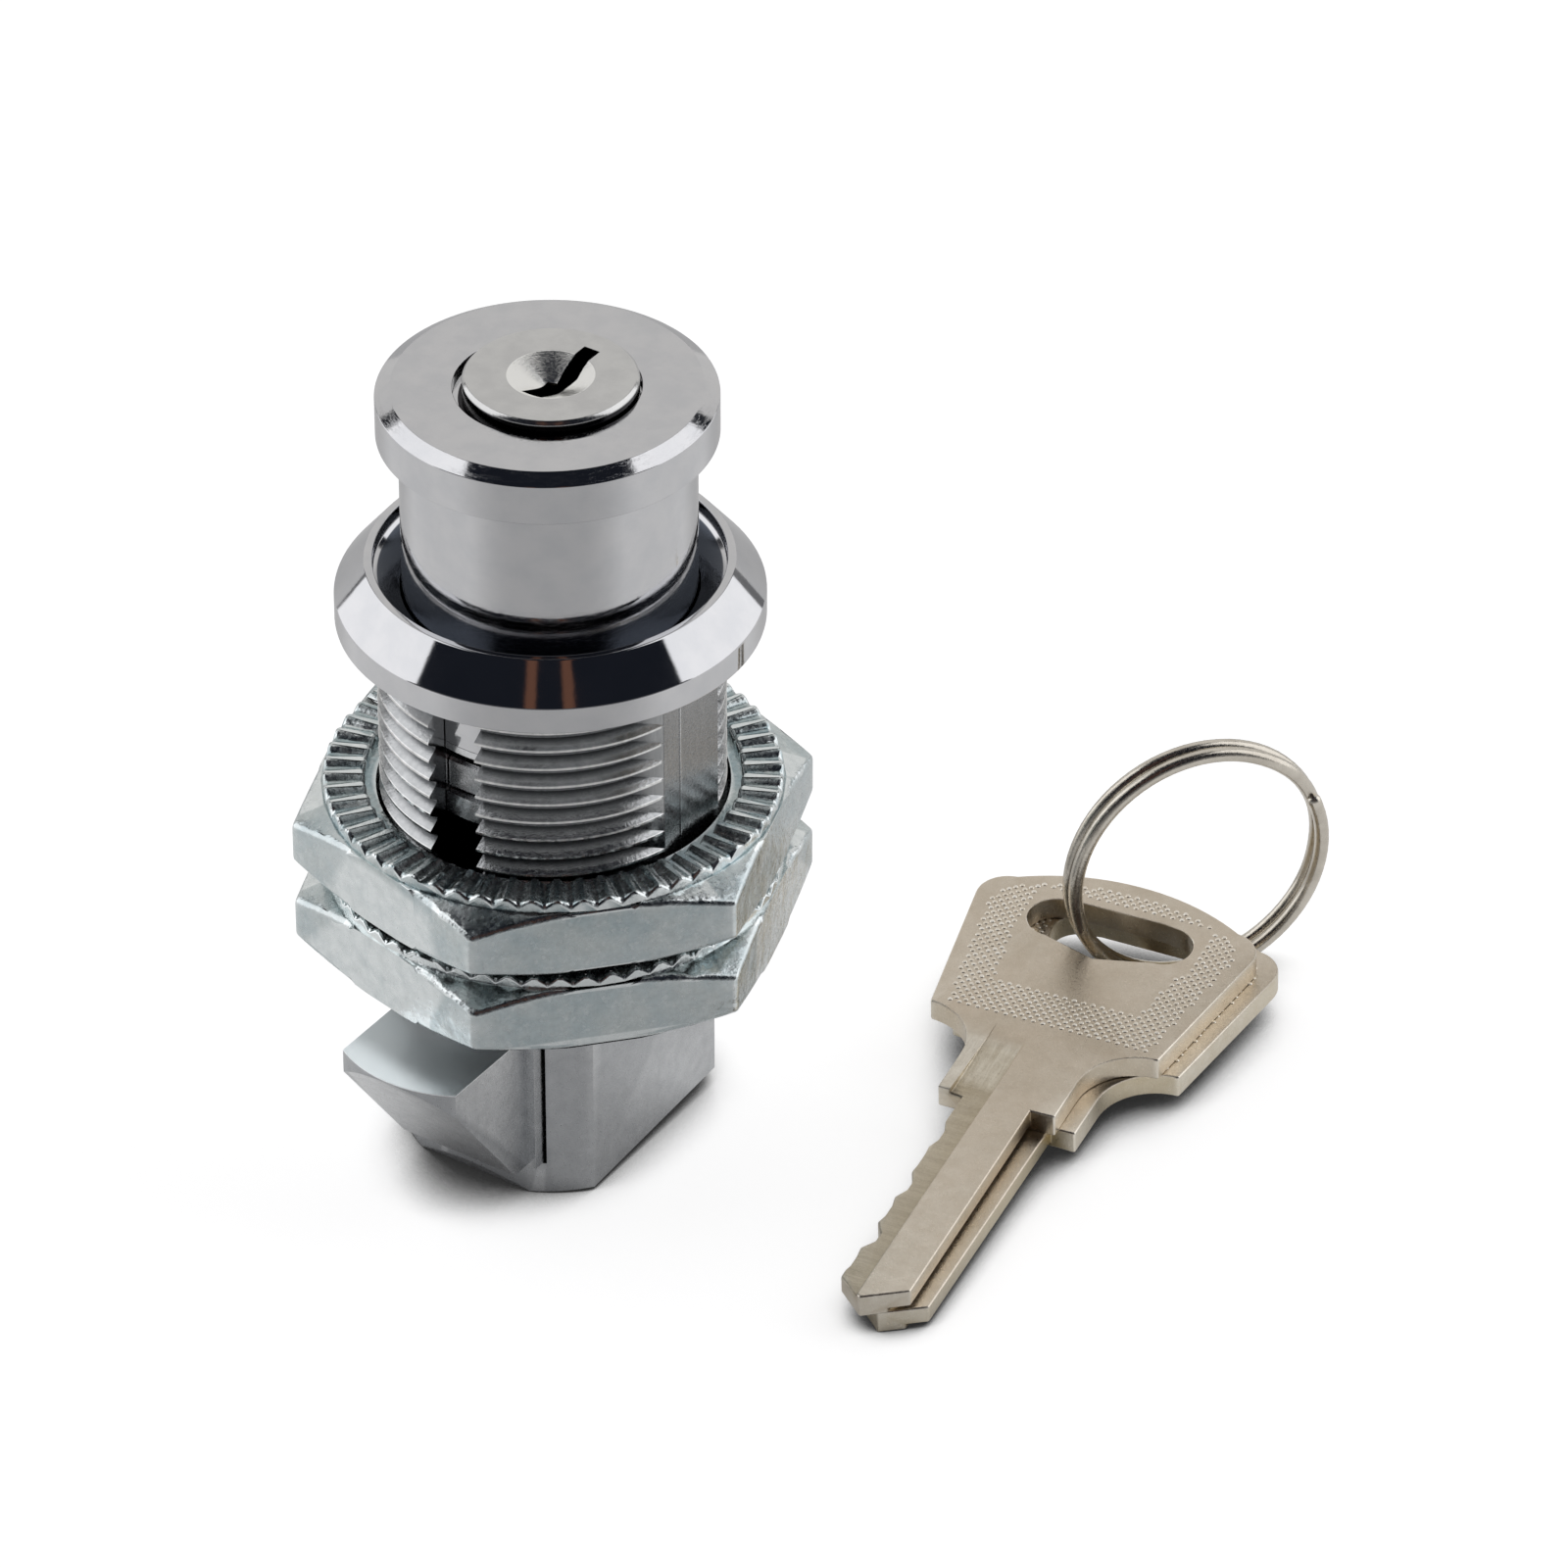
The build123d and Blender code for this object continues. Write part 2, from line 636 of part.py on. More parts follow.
def spring_pockets():
    """Blind holes from the rear for the bolt's springs."""
    return [rod_y(bolt_spring_r + free_clear, bolt_spring_pocket_y, housing_r,
                  side * bolt_spring_x, bolt_spring_z) for side in (-1, 1)]


def bolt_springs():
    """Two springs that throw the bolt, between its pockets and the housing's back."""
    back = sqrt(cavity_r ** 2 - (bolt_spring_x + bolt_spring_r) ** 2)
    length = back - bolt_spring_pocket_y - 2 * seat_clear
    spring = coil(bolt_spring_r, bolt_spring_wire, length, bolt_spring_turns)
    spring = Rot(-90, 0, 0) * spring
    return [Pos(side * bolt_spring_x, bolt_spring_pocket_y + seat_clear, bolt_spring_z)
            * spring for side in (-1, 1)]


# ---- keys and ring -----------------------------------------------------
def key_place(along, across, height, turn=0.0):
    """Place a key drawn with its length on +X, its face up, its tip at the origin."""
    heading = Pos(*key_tip_xy, floor_z) * Rot(0, 0, 90 + key_heading)
    tilt = Rot(0, -key_tilt, 0)
    return heading * tilt * Pos(along, -across, height) * Rot(0, 0, turn)


def key_outline():
    """Key blank: pointed blade, stops, concave neck and arched bow."""
    corners = [
        (point_l - key_tip, blade_half_w), (blade_stop, blade_half_w),
        (blade_stop, neck_half_w), (bow_foot - neck_round, neck_half_w),
    ]
    side = Polyline(*corners)
    neck = RadiusArc(corners[-1], (bow_foot, bow_foot_half_w), -neck_round)
    bow = Line((bow_foot, bow_foot_half_w), (bow_side, bow_side_half_w))
    corner = TangentArc(bow @ 1, (bow_side + bow_corner, bow_side_half_w - bow_corner_in),
                        tangent=bow % 1)
    half = side + neck + bow + corner
    crown_foot = half.vertices().sort_by(Axis.X)[-1]
    crown = ThreePointArc(crown_foot, (bow_top, 0), (crown_foot.X, -crown_foot.Y))
    first = (point_l - key_tip, blade_half_w)
    point = Polyline((first[0], -first[1]), (-key_tip, point_off), first)
    return make_face(point + half + mirror(half, Plane.XZ) + crown)


def bow_slot():
    """Slot in the bow for the ring: flat above, dropping to a point below."""
    reach = slot_half_l - slot_end_r
    slot = Pos(slot_end, reach) * Circle(slot_end_r)
    slot += Pos(slot_end, -reach) * Circle(slot_end_r)
    return slot + make_face(Polyline(
        (slot_end + slot_end_r, reach), (slot_top, slot_top_half_l),
        (slot_top, -slot_top_half_l), (slot_end + slot_end_r, -reach),
        (slot_end - slot_end_r, -reach), (slot_foot, 0), (slot_end - slot_end_r, reach),
        close=True))


def bitting():
    """The bitting: a saw of sloping cuts along the blade's left edge."""
    outside = blade_half_w + over
    points = [(-key_tip - over, outside)]
    for k, depth in enumerate(cut_depths):
        a = cut_start + cut_pitch * k
        root = blade_half_w - depth
        points += [(a - cut_flat / 2, root), (a + cut_flat / 2, root),
                   (a + cut_pitch / 2, blade_half_w)]
    points.append((points[-1][0], outside))
    return make_face(Polyline(*points, close=True))


def key():
    """One flat key: stamped blank, ring slot, milled groove, rib line and bitting."""
    blank = extrude(key_outline() - bow_slot() - bitting(), key_t)
    far = blade_half_w + over
    above = key_t + over
    rise = mill_runout * (mill_depth + over) / mill_depth
    mill = make_face(Polyline(
        (-key_tip - over, 0, key_t - mill_depth), (mill_end, 0, key_t - mill_depth),
        (mill_end + rise, 0, above), (-key_tip - over, 0, above), close=True))
    mill = Pos(0, -mill_edge, 0) * extrude(mill, amount=far + mill_edge, dir=(0, 1, 0))
    under = box(-key_tip - over, blade_stop, -far, -blade_half_w + rib_w, -over, mill_depth)
    return blank - mill - under


def key_upper():
    """The key on top."""
    return key_place(0, 0, key_t + key_gap) * key()


def key_lower():
    """The key beneath, a little further out."""
    along, across = lower_key_shift
    return key_place(along, across, 0, lower_key_turn) * key()


def key_ring():
    """Split ring: two turns of wire lying side by side."""
    pitch = ring_wire + ring_gap
    path = Helix(pitch=pitch, height=2 * pitch, radius=ring_r)
    start = Plane(origin=path @ 0, x_dir=(1, 0, 0), z_dir=path % 0)
    section = RegularPolygon(ring_wire / 2, wire_sides)
    wire = sweep(start * section, path=path, is_frenet=True)
    upright = Rot(90, 0, 0) * Pos(0, 0, -pitch) * wire
    along, across = ring_at
    plan = key_place(along, across, 0).position
    height = floor_z + ring_r + ring_wire / 2
    turn = 90 + key_heading - ring_yaw
    return Pos(plan.X, plan.Y, height) * Rot(0, 0, turn) * upright


# ---- write one file per node -------------------------------------------
nodes = {
    "lock_barrel": lock_barrel,
    "stop_pin": stop_pin,
    "bolt_housing": bolt_housing,
    "housing_dowels": housing_dowels,
    "front_nut": lambda: serrated_nut(front_nut_top_z, front_nut_turn),
    "rear_nut": lambda: serrated_nut(rear_nut_top_z, rear_nut_turn),
    "push_button": push_button,
    "button_carrier": button_carrier,
    "carrier_screws": carrier_screws,
    "key_plug": key_plug,
    "plug_wafers": plug_wafers,
    "wafer_springs": wafer_springs,
    "plug_clip": plug_clip,
    "plug_cam": plug_cam,
    "locking_pawl": locking_pawl,
    "drive_stem": drive_stem,
    "stem_pin": stem_pin,
    "return_springs": return_springs,
    "latch_bolt": latch_bolt,
    "bolt_springs": bolt_springs,
    "key_upper": key_upper,
    "key_lower": key_lower,
    "key_ring": key_ring,
}

os.makedirs("parts", exist_ok=True)
for name, make in nodes.items():
    shape = make()
    if isinstance(shape, list):
        shape = Compound(children=shape)
    export_step(shape, f"parts/{name}.step")
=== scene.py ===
from math import cos, hypot, radians, sin, tau

import bpy
from mathutils import Matrix, Vector


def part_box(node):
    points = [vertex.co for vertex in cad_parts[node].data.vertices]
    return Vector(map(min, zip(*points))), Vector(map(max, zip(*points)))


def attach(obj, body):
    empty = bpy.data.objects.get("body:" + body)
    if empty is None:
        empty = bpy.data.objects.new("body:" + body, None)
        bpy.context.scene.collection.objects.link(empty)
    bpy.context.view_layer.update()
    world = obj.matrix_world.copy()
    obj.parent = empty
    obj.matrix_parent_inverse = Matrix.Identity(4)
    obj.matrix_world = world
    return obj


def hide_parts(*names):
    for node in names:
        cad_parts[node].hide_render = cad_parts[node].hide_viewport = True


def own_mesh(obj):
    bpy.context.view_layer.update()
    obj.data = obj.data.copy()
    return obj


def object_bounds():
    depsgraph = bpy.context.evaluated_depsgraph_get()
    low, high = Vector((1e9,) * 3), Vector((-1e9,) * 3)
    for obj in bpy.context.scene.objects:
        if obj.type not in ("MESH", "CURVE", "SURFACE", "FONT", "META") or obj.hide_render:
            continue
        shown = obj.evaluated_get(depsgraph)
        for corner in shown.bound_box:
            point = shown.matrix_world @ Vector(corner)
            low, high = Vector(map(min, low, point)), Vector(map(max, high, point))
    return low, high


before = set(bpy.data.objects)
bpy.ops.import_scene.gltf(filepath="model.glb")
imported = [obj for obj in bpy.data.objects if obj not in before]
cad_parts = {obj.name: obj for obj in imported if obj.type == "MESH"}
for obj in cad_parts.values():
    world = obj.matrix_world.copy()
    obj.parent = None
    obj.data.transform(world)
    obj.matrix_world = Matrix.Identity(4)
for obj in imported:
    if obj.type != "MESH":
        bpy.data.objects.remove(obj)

CAD_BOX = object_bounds()
MM = 0.001
DOUBLES = 1e-7                   # metres, points of a new piece this close are one
CAD_DOUBLES = 1e-6               # and points of a CAD copy

# ---- sizes of the lock, in millimetres, and angles in degrees --------------
FLAT_ANGLE = 0.4                 # faces that belong to one flat
EDGE_ANGLE = 28.0                # edges that get rounded
SMOOTH_ANGLE = 32.0              # edges that stay crisp
TURNED_STEPS = 160
BAR_SIDES = 48
BEZEL_ROUND = 0.12 * MM          # how far each piece's edges are rounded
BUTTON_ROUND = 0.06 * MM
PLUG_ROUND = 0.05 * MM
PLUG_FACE_ROUND = 0.09 * MM
NUT_ROUND = 0.38 * MM
TOOTH_ROUND = 0.09 * MM
HOUSING_ROUND = 0.16 * MM
BOLT_ROUND = 0.2 * MM
KEY_ROUND = 0.17 * MM
THREAD_R = 13.5
PAST_THREAD = 16.0               # cutters reach this far out
WALL_CUT = (10.0, 15.0)          # and those through the barrel's wall so far in and out
THREAD_DEPTH = 0.9
THREAD_PITCH = 1.65
THREAD_LAND = 0.16               # the flat left on each crest
THREAD_ROOT = 0.22               # and the one at each root
THREAD_TOP_Z = -1.1
THREAD_STEPS = 96
BARREL_END_Z = -29.0
BORE_R = 11.48
BARREL_CHAMFER = 0.8
BEZEL_R = 16.6
BEZEL_BAND_H = 2.2
RIM_R = 14.2
RIM_Z = 5.15
RIM_LAND = 0.6
RIM_WALL_H = 0.95
DISH_Z = 2.7
NUT_CHAMFER_R = 18.35            # a nut's edges further out are rounded more
WINDOW_W = 4.3
WINDOW_Z = (-24.0, -0.3)
PIN_HOLE_R = 1.05                # the stop pin's and the dowels'
DOWEL_Z = -27.5
STOP_PIN_Z = -10.9
FLAT_X = 13.01
FLAT_HALF_W = 3.6
FLAT_RUNOUT_X = 11.2
FLAT_RUNOUT_Y = 5.65
CASTING_LINE_Y = -1.5
CASTING_LINE_Z = (-25.5, -0.4)
NECK_R = 11.4
NECK_END_Z = -6.5
NECK_SLOT = 1.1                  # half its width, and its depth
CARRIER_SCREW_R = 0.95
CARRIER_SCREW_XY = (8.2, 4.79)
HEAD_R = 13.1
HEAD_UNDER_Z = 16.6
HEAD_CHAMFER_Z = 19.9
HEAD_TOP_R = 11.9
HEAD_TOP_Z = 20.6
PLUG_SEAT_Z = 19.6
PLUG_BORE_R = 5.08
PLUG_SEAT_R = 7.2
PLUG_SPLIT_Z = 19.7
PLUG_FACE_R = 6.75
PLUG_FACE_Z = 21.55
PLUG_FACE_SHIFT = (0.24, 0.16)   # the face sits a little out of true in its seat
CONE_R = 3.4
CONE_DEPTH = 1.42
KEYWAY = ((-0.10, 4.62), (1.30, 4.62), (1.30, 2.40), (1.50, 1.30), (1.20, 0.20), (1.20, -2.90),
          (-0.65, -2.90), (-0.65, 0.50), (0.05, 0.75), (-0.10, 1.90))
KEY_TIP_XY = (36.95, -10.74)
KEY_HEADING = 9.8
KEY_TILT = 2.86
KEY_T = 2.0
UPPER_KEY_AT = (0, 0, 2.03)      # along, across and up from the tip's place
LOWER_KEY_AT = (1.0, 1.1, 0, -0.5)   # and a turn
MILLED_ABOVE = 1.2 * MM
RING_R = 10.65
RING_WIRE = 1.2
RING_YAW = 45.5
RING_ENDS_AT = 25.0
RING_CENTRE = (33.08 * MM, 42.04 * MM, -35.45 * MM)
BOW_FOOT, BOW_FOOT_HALF_W = 34.0, 9.8            # along the key, and half its width there
BOW_SHOULDER, BOW_SHOULDER_HALF_W = 48.3, 12.0
BOW_CORNER, BOW_CORNER_HALF_W = 3.0, 9.66        # the corner reaches so far past the shoulder
BOW_TOP, BOW_SAG = 53.9, 2.6                     # the crown, and how far it falls to a corner
DOT_PITCH = 0.80
DOT_R = 0.24
DOT_H = 0.09
DOT_INSET = 1.3                  # plain border round the bow
DOT_BAND = 4.3                   # how far in from the bow's edge the dots reach
DOTS_ALONG = (34.75, 54.0)
DOTS_ACROSS = (-11.6, 12.0)
DOTTED_TO = 38.4                 # up to here the bow is dotted right across
SLOT_CLEAR_HALF_W = 7.6          # no dots round the ring's slot
SLOT_CLEAR = (43.2, 50.8)

# ---- camera, floor and light ---------------------------------------------
CAMERA_TURN = radians(34.0)      # about Z, so that the bolt points left and forward
CAMERA_TILT = radians(35.15)     # above the horizon
CAMERA_LENS = 225.0              # millimetres on a 36 mm sensor
CAMERA_AWAY = 751.88 * MM        # from the lock's origin, along the line of sight
CAMERA_RIGHT = 17.89 * MM        # the lock stands left of the picture's middle
CAMERA_DOWN = 13.31 * MM         # and above it
FLOOR_Z = CAD_BOX[0].z
BOLT_TOP_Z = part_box("latch_bolt")[1].z / MM


def camera_axes():
    """Right, up and forward of the camera, in the lock's frame."""
    c, s = cos(CAMERA_TURN), sin(CAMERA_TURN)
    ct, st = cos(CAMERA_TILT), sin(CAMERA_TILT)
    return Vector((c, s, 0)), Vector((-s * st, c * st, ct)), Vector((-s * ct, c * ct, -st))


def add_camera():
    right, up, forward = camera_axes()
    place = right * CAMERA_RIGHT - up * CAMERA_DOWN - forward * CAMERA_AWAY
    data = bpy.data.cameras.new("camera")
    data.lens = CAMERA_LENS
    data.sensor_width = 36.0
    data.clip_start, data.clip_end = 0.05, 20.0
    camera = bpy.data.objects.new("camera", data)
    turn = Matrix((right, up, -forward)).transposed().to_4x4()
    camera.matrix_world = Matrix.Translation(place) @ turn
    bpy.context.scene.collection.objects.link(camera)
    bpy.context.scene.camera = camera


# ---- node helpers ----------------------------------------------------------
def new_tree(material):
    material.use_nodes = True
    tree = material.node_tree
    tree.nodes.clear()
    return tree


def link(tree, a, b):
    tree.links.new(a, b)


def math_node(tree, operation, a, b=None, clamp=False):
    """A Math node; a and b are sockets or numbers."""
    node = tree.nodes.new("ShaderNodeMath")
    node.operation = operation
    node.use_clamp = clamp
    for socket, value in zip(node.inputs, (a, b)):
        if value is None:
            continue
        if isinstance(value, (int, float)):
            socket.default_value = value
        else:
            link(tree, value, socket)
    return node.outputs[0]


def less(tree, share):
    """What is left of 1 when the share is taken off."""
    return math_node(tree, "SUBTRACT", 1.0, share)


def times(tree, a, b):
    """The product of two shares."""
    return math_node(tree, "MULTIPLY", a, b)


def plus(tree, a, b):
    """The sum of two shares."""
    return math_node(tree, "ADD", a, b)


def ramp(tree, value, low, high):
    """0 below low, 1 above high, smooth between."""
    node = tree.nodes.new("ShaderNodeMapRange")
    node.interpolation_type = "SMOOTHSTEP"
    link(tree, value, node.inputs["Value"])
    node.inputs["From Min"].default_value = low
    node.inputs["From Max"].default_value = high
    return node.outputs["Result"]


def band(tree, value, low, high, soft):
    """1 between low and high, 0 outside, with soft edges."""
    rise = ramp(tree, value, low - soft, low + soft)
    fall = ramp(tree, value, high - soft, high + soft)
    return math_node(tree, "SUBTRACT", rise, fall, clamp=True)


def blend_value(tree, share, low, high):
    """A number between low and high, as the share goes from 0 to 1."""
    node = tree.nodes.new("ShaderNodeMapRange")
    link(tree, share, node.inputs["Value"])
    node.inputs["To Min"].default_value = low
    node.inputs["To Max"].default_value = high
    return node.outputs["Result"]


def mix_colour(tree, share, a, b):
    """Blend of two colours; a and b are sockets or colours."""
    node = tree.nodes.new("ShaderNodeMix")
    node.data_type = "RGBA"
    link(tree, share, node.inputs["Factor"])
    for socket, value in zip((node.inputs[6], node.inputs[7]), (a, b)):
        if isinstance(value, tuple):
            socket.default_value = (*value, 1.0)
        else:
            link(tree, value, socket)
    return node.outputs[2]


# ---- studio ----------------------------------------------------------------
SOFTBOX = (1.26, 1.26, 1.28)
WALL = (0.72, 0.71, 0.70)
SOFTBOX_DEPTH = (-0.29, 0.95)    # where a soft box starts and ends, away from the camera
SOFTBOX_HEIGHT = (-2.0, 2.1)
WALL_FROM = (0.25, 0.35)
WALL_EDGE = (-9.0, 1.15)
BLACK_FLAG = (0.012, 0.014, 0.02)
WARM_STRIP = (0.16, 0.075, 0.05)
WARM_SIDE = (0.10, 0.18)         # how far aside the warm strips stand
WARM_FRONT = (0.3, 0.5)
WARM_FROM = (0.42, 0.5)          # they fade in at this height
LOW_FRONT = (0.20, 0.20, 0.205)
LOW_FRONT_TOP = (0.22, 0.42)


def add_studio_world():
    """White soft boxes left and right, a grey wall behind, black above and in front.

    Low in front it turns grey, and two warm strips stand in the black.
    """
    world = bpy.data.worlds.new("studio")
    bpy.context.scene.world = world
    tree = new_tree(world)
    coordinate = tree.nodes.new("ShaderNodeTexCoord")
    turn = tree.nodes.new("ShaderNodeMapping")
    turn.vector_type = "VECTOR"
    turn.inputs["Rotation"].default_value = (0, 0, -CAMERA_TURN)
    link(tree, coordinate.outputs["Generated"], turn.inputs["Vector"])
    split = tree.nodes.new("ShaderNodeSeparateXYZ")
    link(tree, turn.outputs["Vector"], split.inputs[0])
    x, y, z = split.outputs
    side = math_node(tree, "ABSOLUTE", x)
    side = math_node(tree, "MAXIMUM", side, 0.001)
    depth = math_node(tree, "DIVIDE", y, side)      # on the plane of a soft box, away
    height = math_node(tree, "DIVIDE", z, side)     # and up
    box = times(tree, band(tree, depth, *SOFTBOX_DEPTH, 0.02),
                band(tree, height, *SOFTBOX_HEIGHT, 0.05))
    wall = times(tree, ramp(tree, y, *WALL_FROM),
                 less(tree, band(tree, depth, *WALL_EDGE, 0.02)))
    warm = times(tree, band(tree, side, *WARM_SIDE, 0.015),
                 ramp(tree, times(tree, y, -1.0), *WARM_FRONT))
    warm = times(tree, warm, ramp(tree, z, *WARM_FROM))
    colour = mix_colour(tree, ramp(tree, z, *LOW_FRONT_TOP), LOW_FRONT, BLACK_FLAG)
    colour = mix_colour(tree, warm, colour, WARM_STRIP)
    colour = mix_colour(tree, wall, colour, WALL)
    colour = mix_colour(tree, box, colour, SOFTBOX)
    path = tree.nodes.new("ShaderNodeLightPath")
    colour = mix_colour(tree, path.outputs["Is Camera Ray"], colour, (1.0, 1.0, 1.0))
    background = tree.nodes.new("ShaderNodeBackground")
    link(tree, colour, background.inputs["Color"])
    output = tree.nodes.new("ShaderNodeOutputWorld")
    link(tree, background.outputs[0], output.inputs[0])


FLOOR_IN_METAL = 0.50            # how pale the floor looks in the chrome, beside the lock
FLOOR_IN_FRONT = 0.24            # and in front of it
FLOOR_SEEN = 0.82                # its own glow, as the camera sees it
FLOOR_SIDES = (0.35, 1.5)        # from in front of the lock to beside it
FLOOR_SHADOWED = 0.5             # the part of the floor that the lock can shade
FLOOR_BOUNCE = (0.85, 0.85, 0.85, 1)
CLOSE_SHADE = 8 * MM             # how near a part darkens the floor
OPEN_FLOOR = (0.30, 0.78)        # openness from the darkest floor to the plain one
DARKEST_FLOOR = 0.03


def add_floor():
    """Pale floor: white to the camera and in reflections, with a soft shadow."""
    bpy.ops.mesh.primitive_plane_add(size=6.0, location=(0, 0, FLOOR_Z - 0.02 * MM))
    floor = bpy.context.object
    floor.name = "floor"
    material = bpy.data.materials.new("pale_floor")
    tree = new_tree(material)
    path = tree.nodes.new("ShaderNodeLightPath")
    mirrored = math_node(tree, "MAXIMUM", path.outputs["Is Glossy Ray"],
                         path.outputs["Is Transmission Ray"])
    seen = math_node(tree, "MAXIMUM", path.outputs["Is Camera Ray"], mirrored)
    plain = tree.nodes.new("ShaderNodeBsdfDiffuse")
    plain.inputs["Color"].default_value = FLOOR_BOUNCE
    shade = tree.nodes.new("ShaderNodeAmbientOcclusion")
    shade.samples = 12
    shade.inputs["Distance"].default_value = CLOSE_SHADE
    coordinate = tree.nodes.new("ShaderNodeTexCoord")
    turn = tree.nodes.new("ShaderNodeMapping")
    turn.inputs["Rotation"].default_value = (0, 0, -CAMERA_TURN)
    link(tree, coordinate.outputs["Object"], turn.inputs["Vector"])
    split = tree.nodes.new("ShaderNodeSeparateXYZ")
    link(tree, turn.outputs["Vector"], split.inputs[0])
    beside = math_node(tree, "ABSOLUTE", split.outputs[0])
    ahead = plus(tree, math_node(tree, "ABSOLUTE", split.outputs[1]), 10 * MM)
    beside = ramp(tree, math_node(tree, "DIVIDE", beside, ahead), *FLOOR_SIDES)
    in_metal = blend_value(tree, beside, FLOOR_IN_FRONT, FLOOR_IN_METAL)
    level = times(tree, mirrored, math_node(tree, "SUBTRACT", in_metal, FLOOR_SEEN))
    level = plus(tree, level, FLOOR_SEEN)
    open_share = ramp(tree, shade.outputs["AO"], *OPEN_FLOOR)
    open_share = blend_value(tree, open_share, DARKEST_FLOOR, 1.0)
    lit = math_node(tree, "MAXIMUM", open_share, mirrored)
    shadow = tree.nodes.new("ShaderNodeBsdfDiffuse")
    dimmed = tree.nodes.new("ShaderNodeCombineColor")
    for socket in dimmed.inputs[:3]:
        link(tree, times(tree, lit, FLOOR_SHADOWED), socket)
    link(tree, dimmed.outputs[0], shadow.inputs["Color"])
    glow = tree.nodes.new("ShaderNodeEmission")
    link(tree, times(tree, level, open_share), glow.inputs["Strength"])
    both = tree.nodes.new("ShaderNodeAddShader")
    link(tree, shadow.outputs[0], both.inputs[0])
    link(tree, glow.outputs[0], both.inputs[1])
    mix = tree.nodes.new("ShaderNodeMixShader")
    link(tree, seen, mix.inputs[0])
    link(tree, plain.outputs[0], mix.inputs[1])
    link(tree, both.outputs[0], mix.inputs[2])
    output = tree.nodes.new("ShaderNodeOutputMaterial")
    link(tree, mix.outputs[0], output.inputs[0])
    floor.data.materials.append(material)


# ---- effects that several finishes share --------------------------------------
def shared_effect(name, inputs, outputs):
    """A node group with its named sockets; returns it with its first and last node."""
    group = bpy.data.node_groups.new(name, "ShaderNodeTree")
    for label, kind, value in inputs:
        socket = group.interface.new_socket(label, in_out="INPUT", socket_type=kind)
        if value is not None:
            socket.default_value = value
    for label in outputs:
        group.interface.new_socket(label, in_out="OUTPUT", socket_type="NodeSocketFloat")
    return group, group.nodes.new("NodeGroupInput"), group.nodes.new("NodeGroupOutput")


def noise(tree, place, scale, detail=2.0, roughness=0.5):
    """A noise pattern's value; scale is a socket or a number, per metre."""
    node = tree.nodes.new("ShaderNodeTexNoise")
    link(tree, place, node.inputs["Vector"])
    if isinstance(scale, (int, float)):
        node.inputs["Scale"].default_value = scale
    else:
        link(tree, scale, node.inputs["Scale"])
    node.inputs["Detail"].default_value = detail
    node.inputs["Roughness"].default_value = roughness
    return node.outputs["Fac"]


def cast_grain_effect():
    """Fine pimples of a casting, and broad cloudy patches."""
    group, start, end = shared_effect(
        "cast_grain", [("Place", "NodeSocketVector", None),
                       ("Grain", "NodeSocketFloat", 5000.0),
                       ("Patch", "NodeSocketFloat", 260.0)], ["Grain", "Patch"])
    fine = noise(group, start.outputs["Place"], start.outputs["Grain"], 3.0, 0.6)
    broad = noise(group, start.outputs["Place"], start.outputs["Patch"], 4.0, 0.55)
    link(group, ramp(group, fine, 0.32, 0.68), end.inputs["Grain"])
    link(group, ramp(group, broad, 0.30, 0.70), end.inputs["Patch"])
    return group


def frost_effect():
    """Small bright crystals of zinc plate, each catching the light its own way."""
    group, start, end = shared_effect(
        "zinc_frost", [("Place", "NodeSocketVector", None),
                       ("Crystals", "NodeSocketFloat", 3000.0)], ["Tone", "Relief"])
    cells = group.nodes.new("ShaderNodeTexVoronoi")
    link(group, start.outputs["Place"], cells.inputs["Vector"])
    link(group, start.outputs["Crystals"], cells.inputs["Scale"])
    split = group.nodes.new("ShaderNodeSeparateColor")
    link(group, cells.outputs["Color"], split.inputs[0])
    link(group, split.outputs[0], end.inputs["Tone"])
    fine = noise(group, start.outputs["Place"], start.outputs["Crystals"], 3.0, 0.65)
    link(group, fine, end.inputs["Relief"])
    return group


def scratch_effect():
    """Long thin scratches; the place is stretched along them beforehand."""
    group, start, end = shared_effect(
        "fine_scratches", [("Place", "NodeSocketVector", None),
                           ("Density", "NodeSocketFloat", 900.0)], ["Scratch", "Streak"])
    lines = noise(group, start.outputs["Place"], start.outputs["Density"], 6.0, 0.7)
    link(group, band(group, lines, 0.485, 0.515, 0.012), end.inputs["Scratch"])
    link(group, ramp(group, lines, 0.3, 0.7), end.inputs["Streak"])
    return group


def edge_wear_effect():
    """Bright rubbed edges, broken up a little."""
    group, start, end = shared_effect(
        "edge_wear", [("Place", "NodeSocketVector", None),
                      ("Reach", "NodeSocketFloat", 0.06)], ["Edge"])
    geometry = group.nodes.new("ShaderNodeNewGeometry")
    over = math_node(group, "SUBTRACT", geometry.outputs["Pointiness"], 0.5)
    share = math_node(group, "DIVIDE", over, start.outputs["Reach"], clamp=True)
    broken = blend_value(group, noise(group, start.outputs["Place"], 900.0, 3.0), 0.5, 1.3)
    link(group, math_node(group, "MULTIPLY", share, broken, clamp=True), end.inputs["Edge"])
    return group


def effect(tree, group, **values):
    """A shared effect in a finish; values are sockets or numbers."""
    node = tree.nodes.new("ShaderNodeGroup")
    node.node_tree = group
    for label, value in values.items():
        if isinstance(value, (int, float)):
            node.inputs[label].default_value = value
        else:
            link(tree, value, node.inputs[label])
    return node.outputs


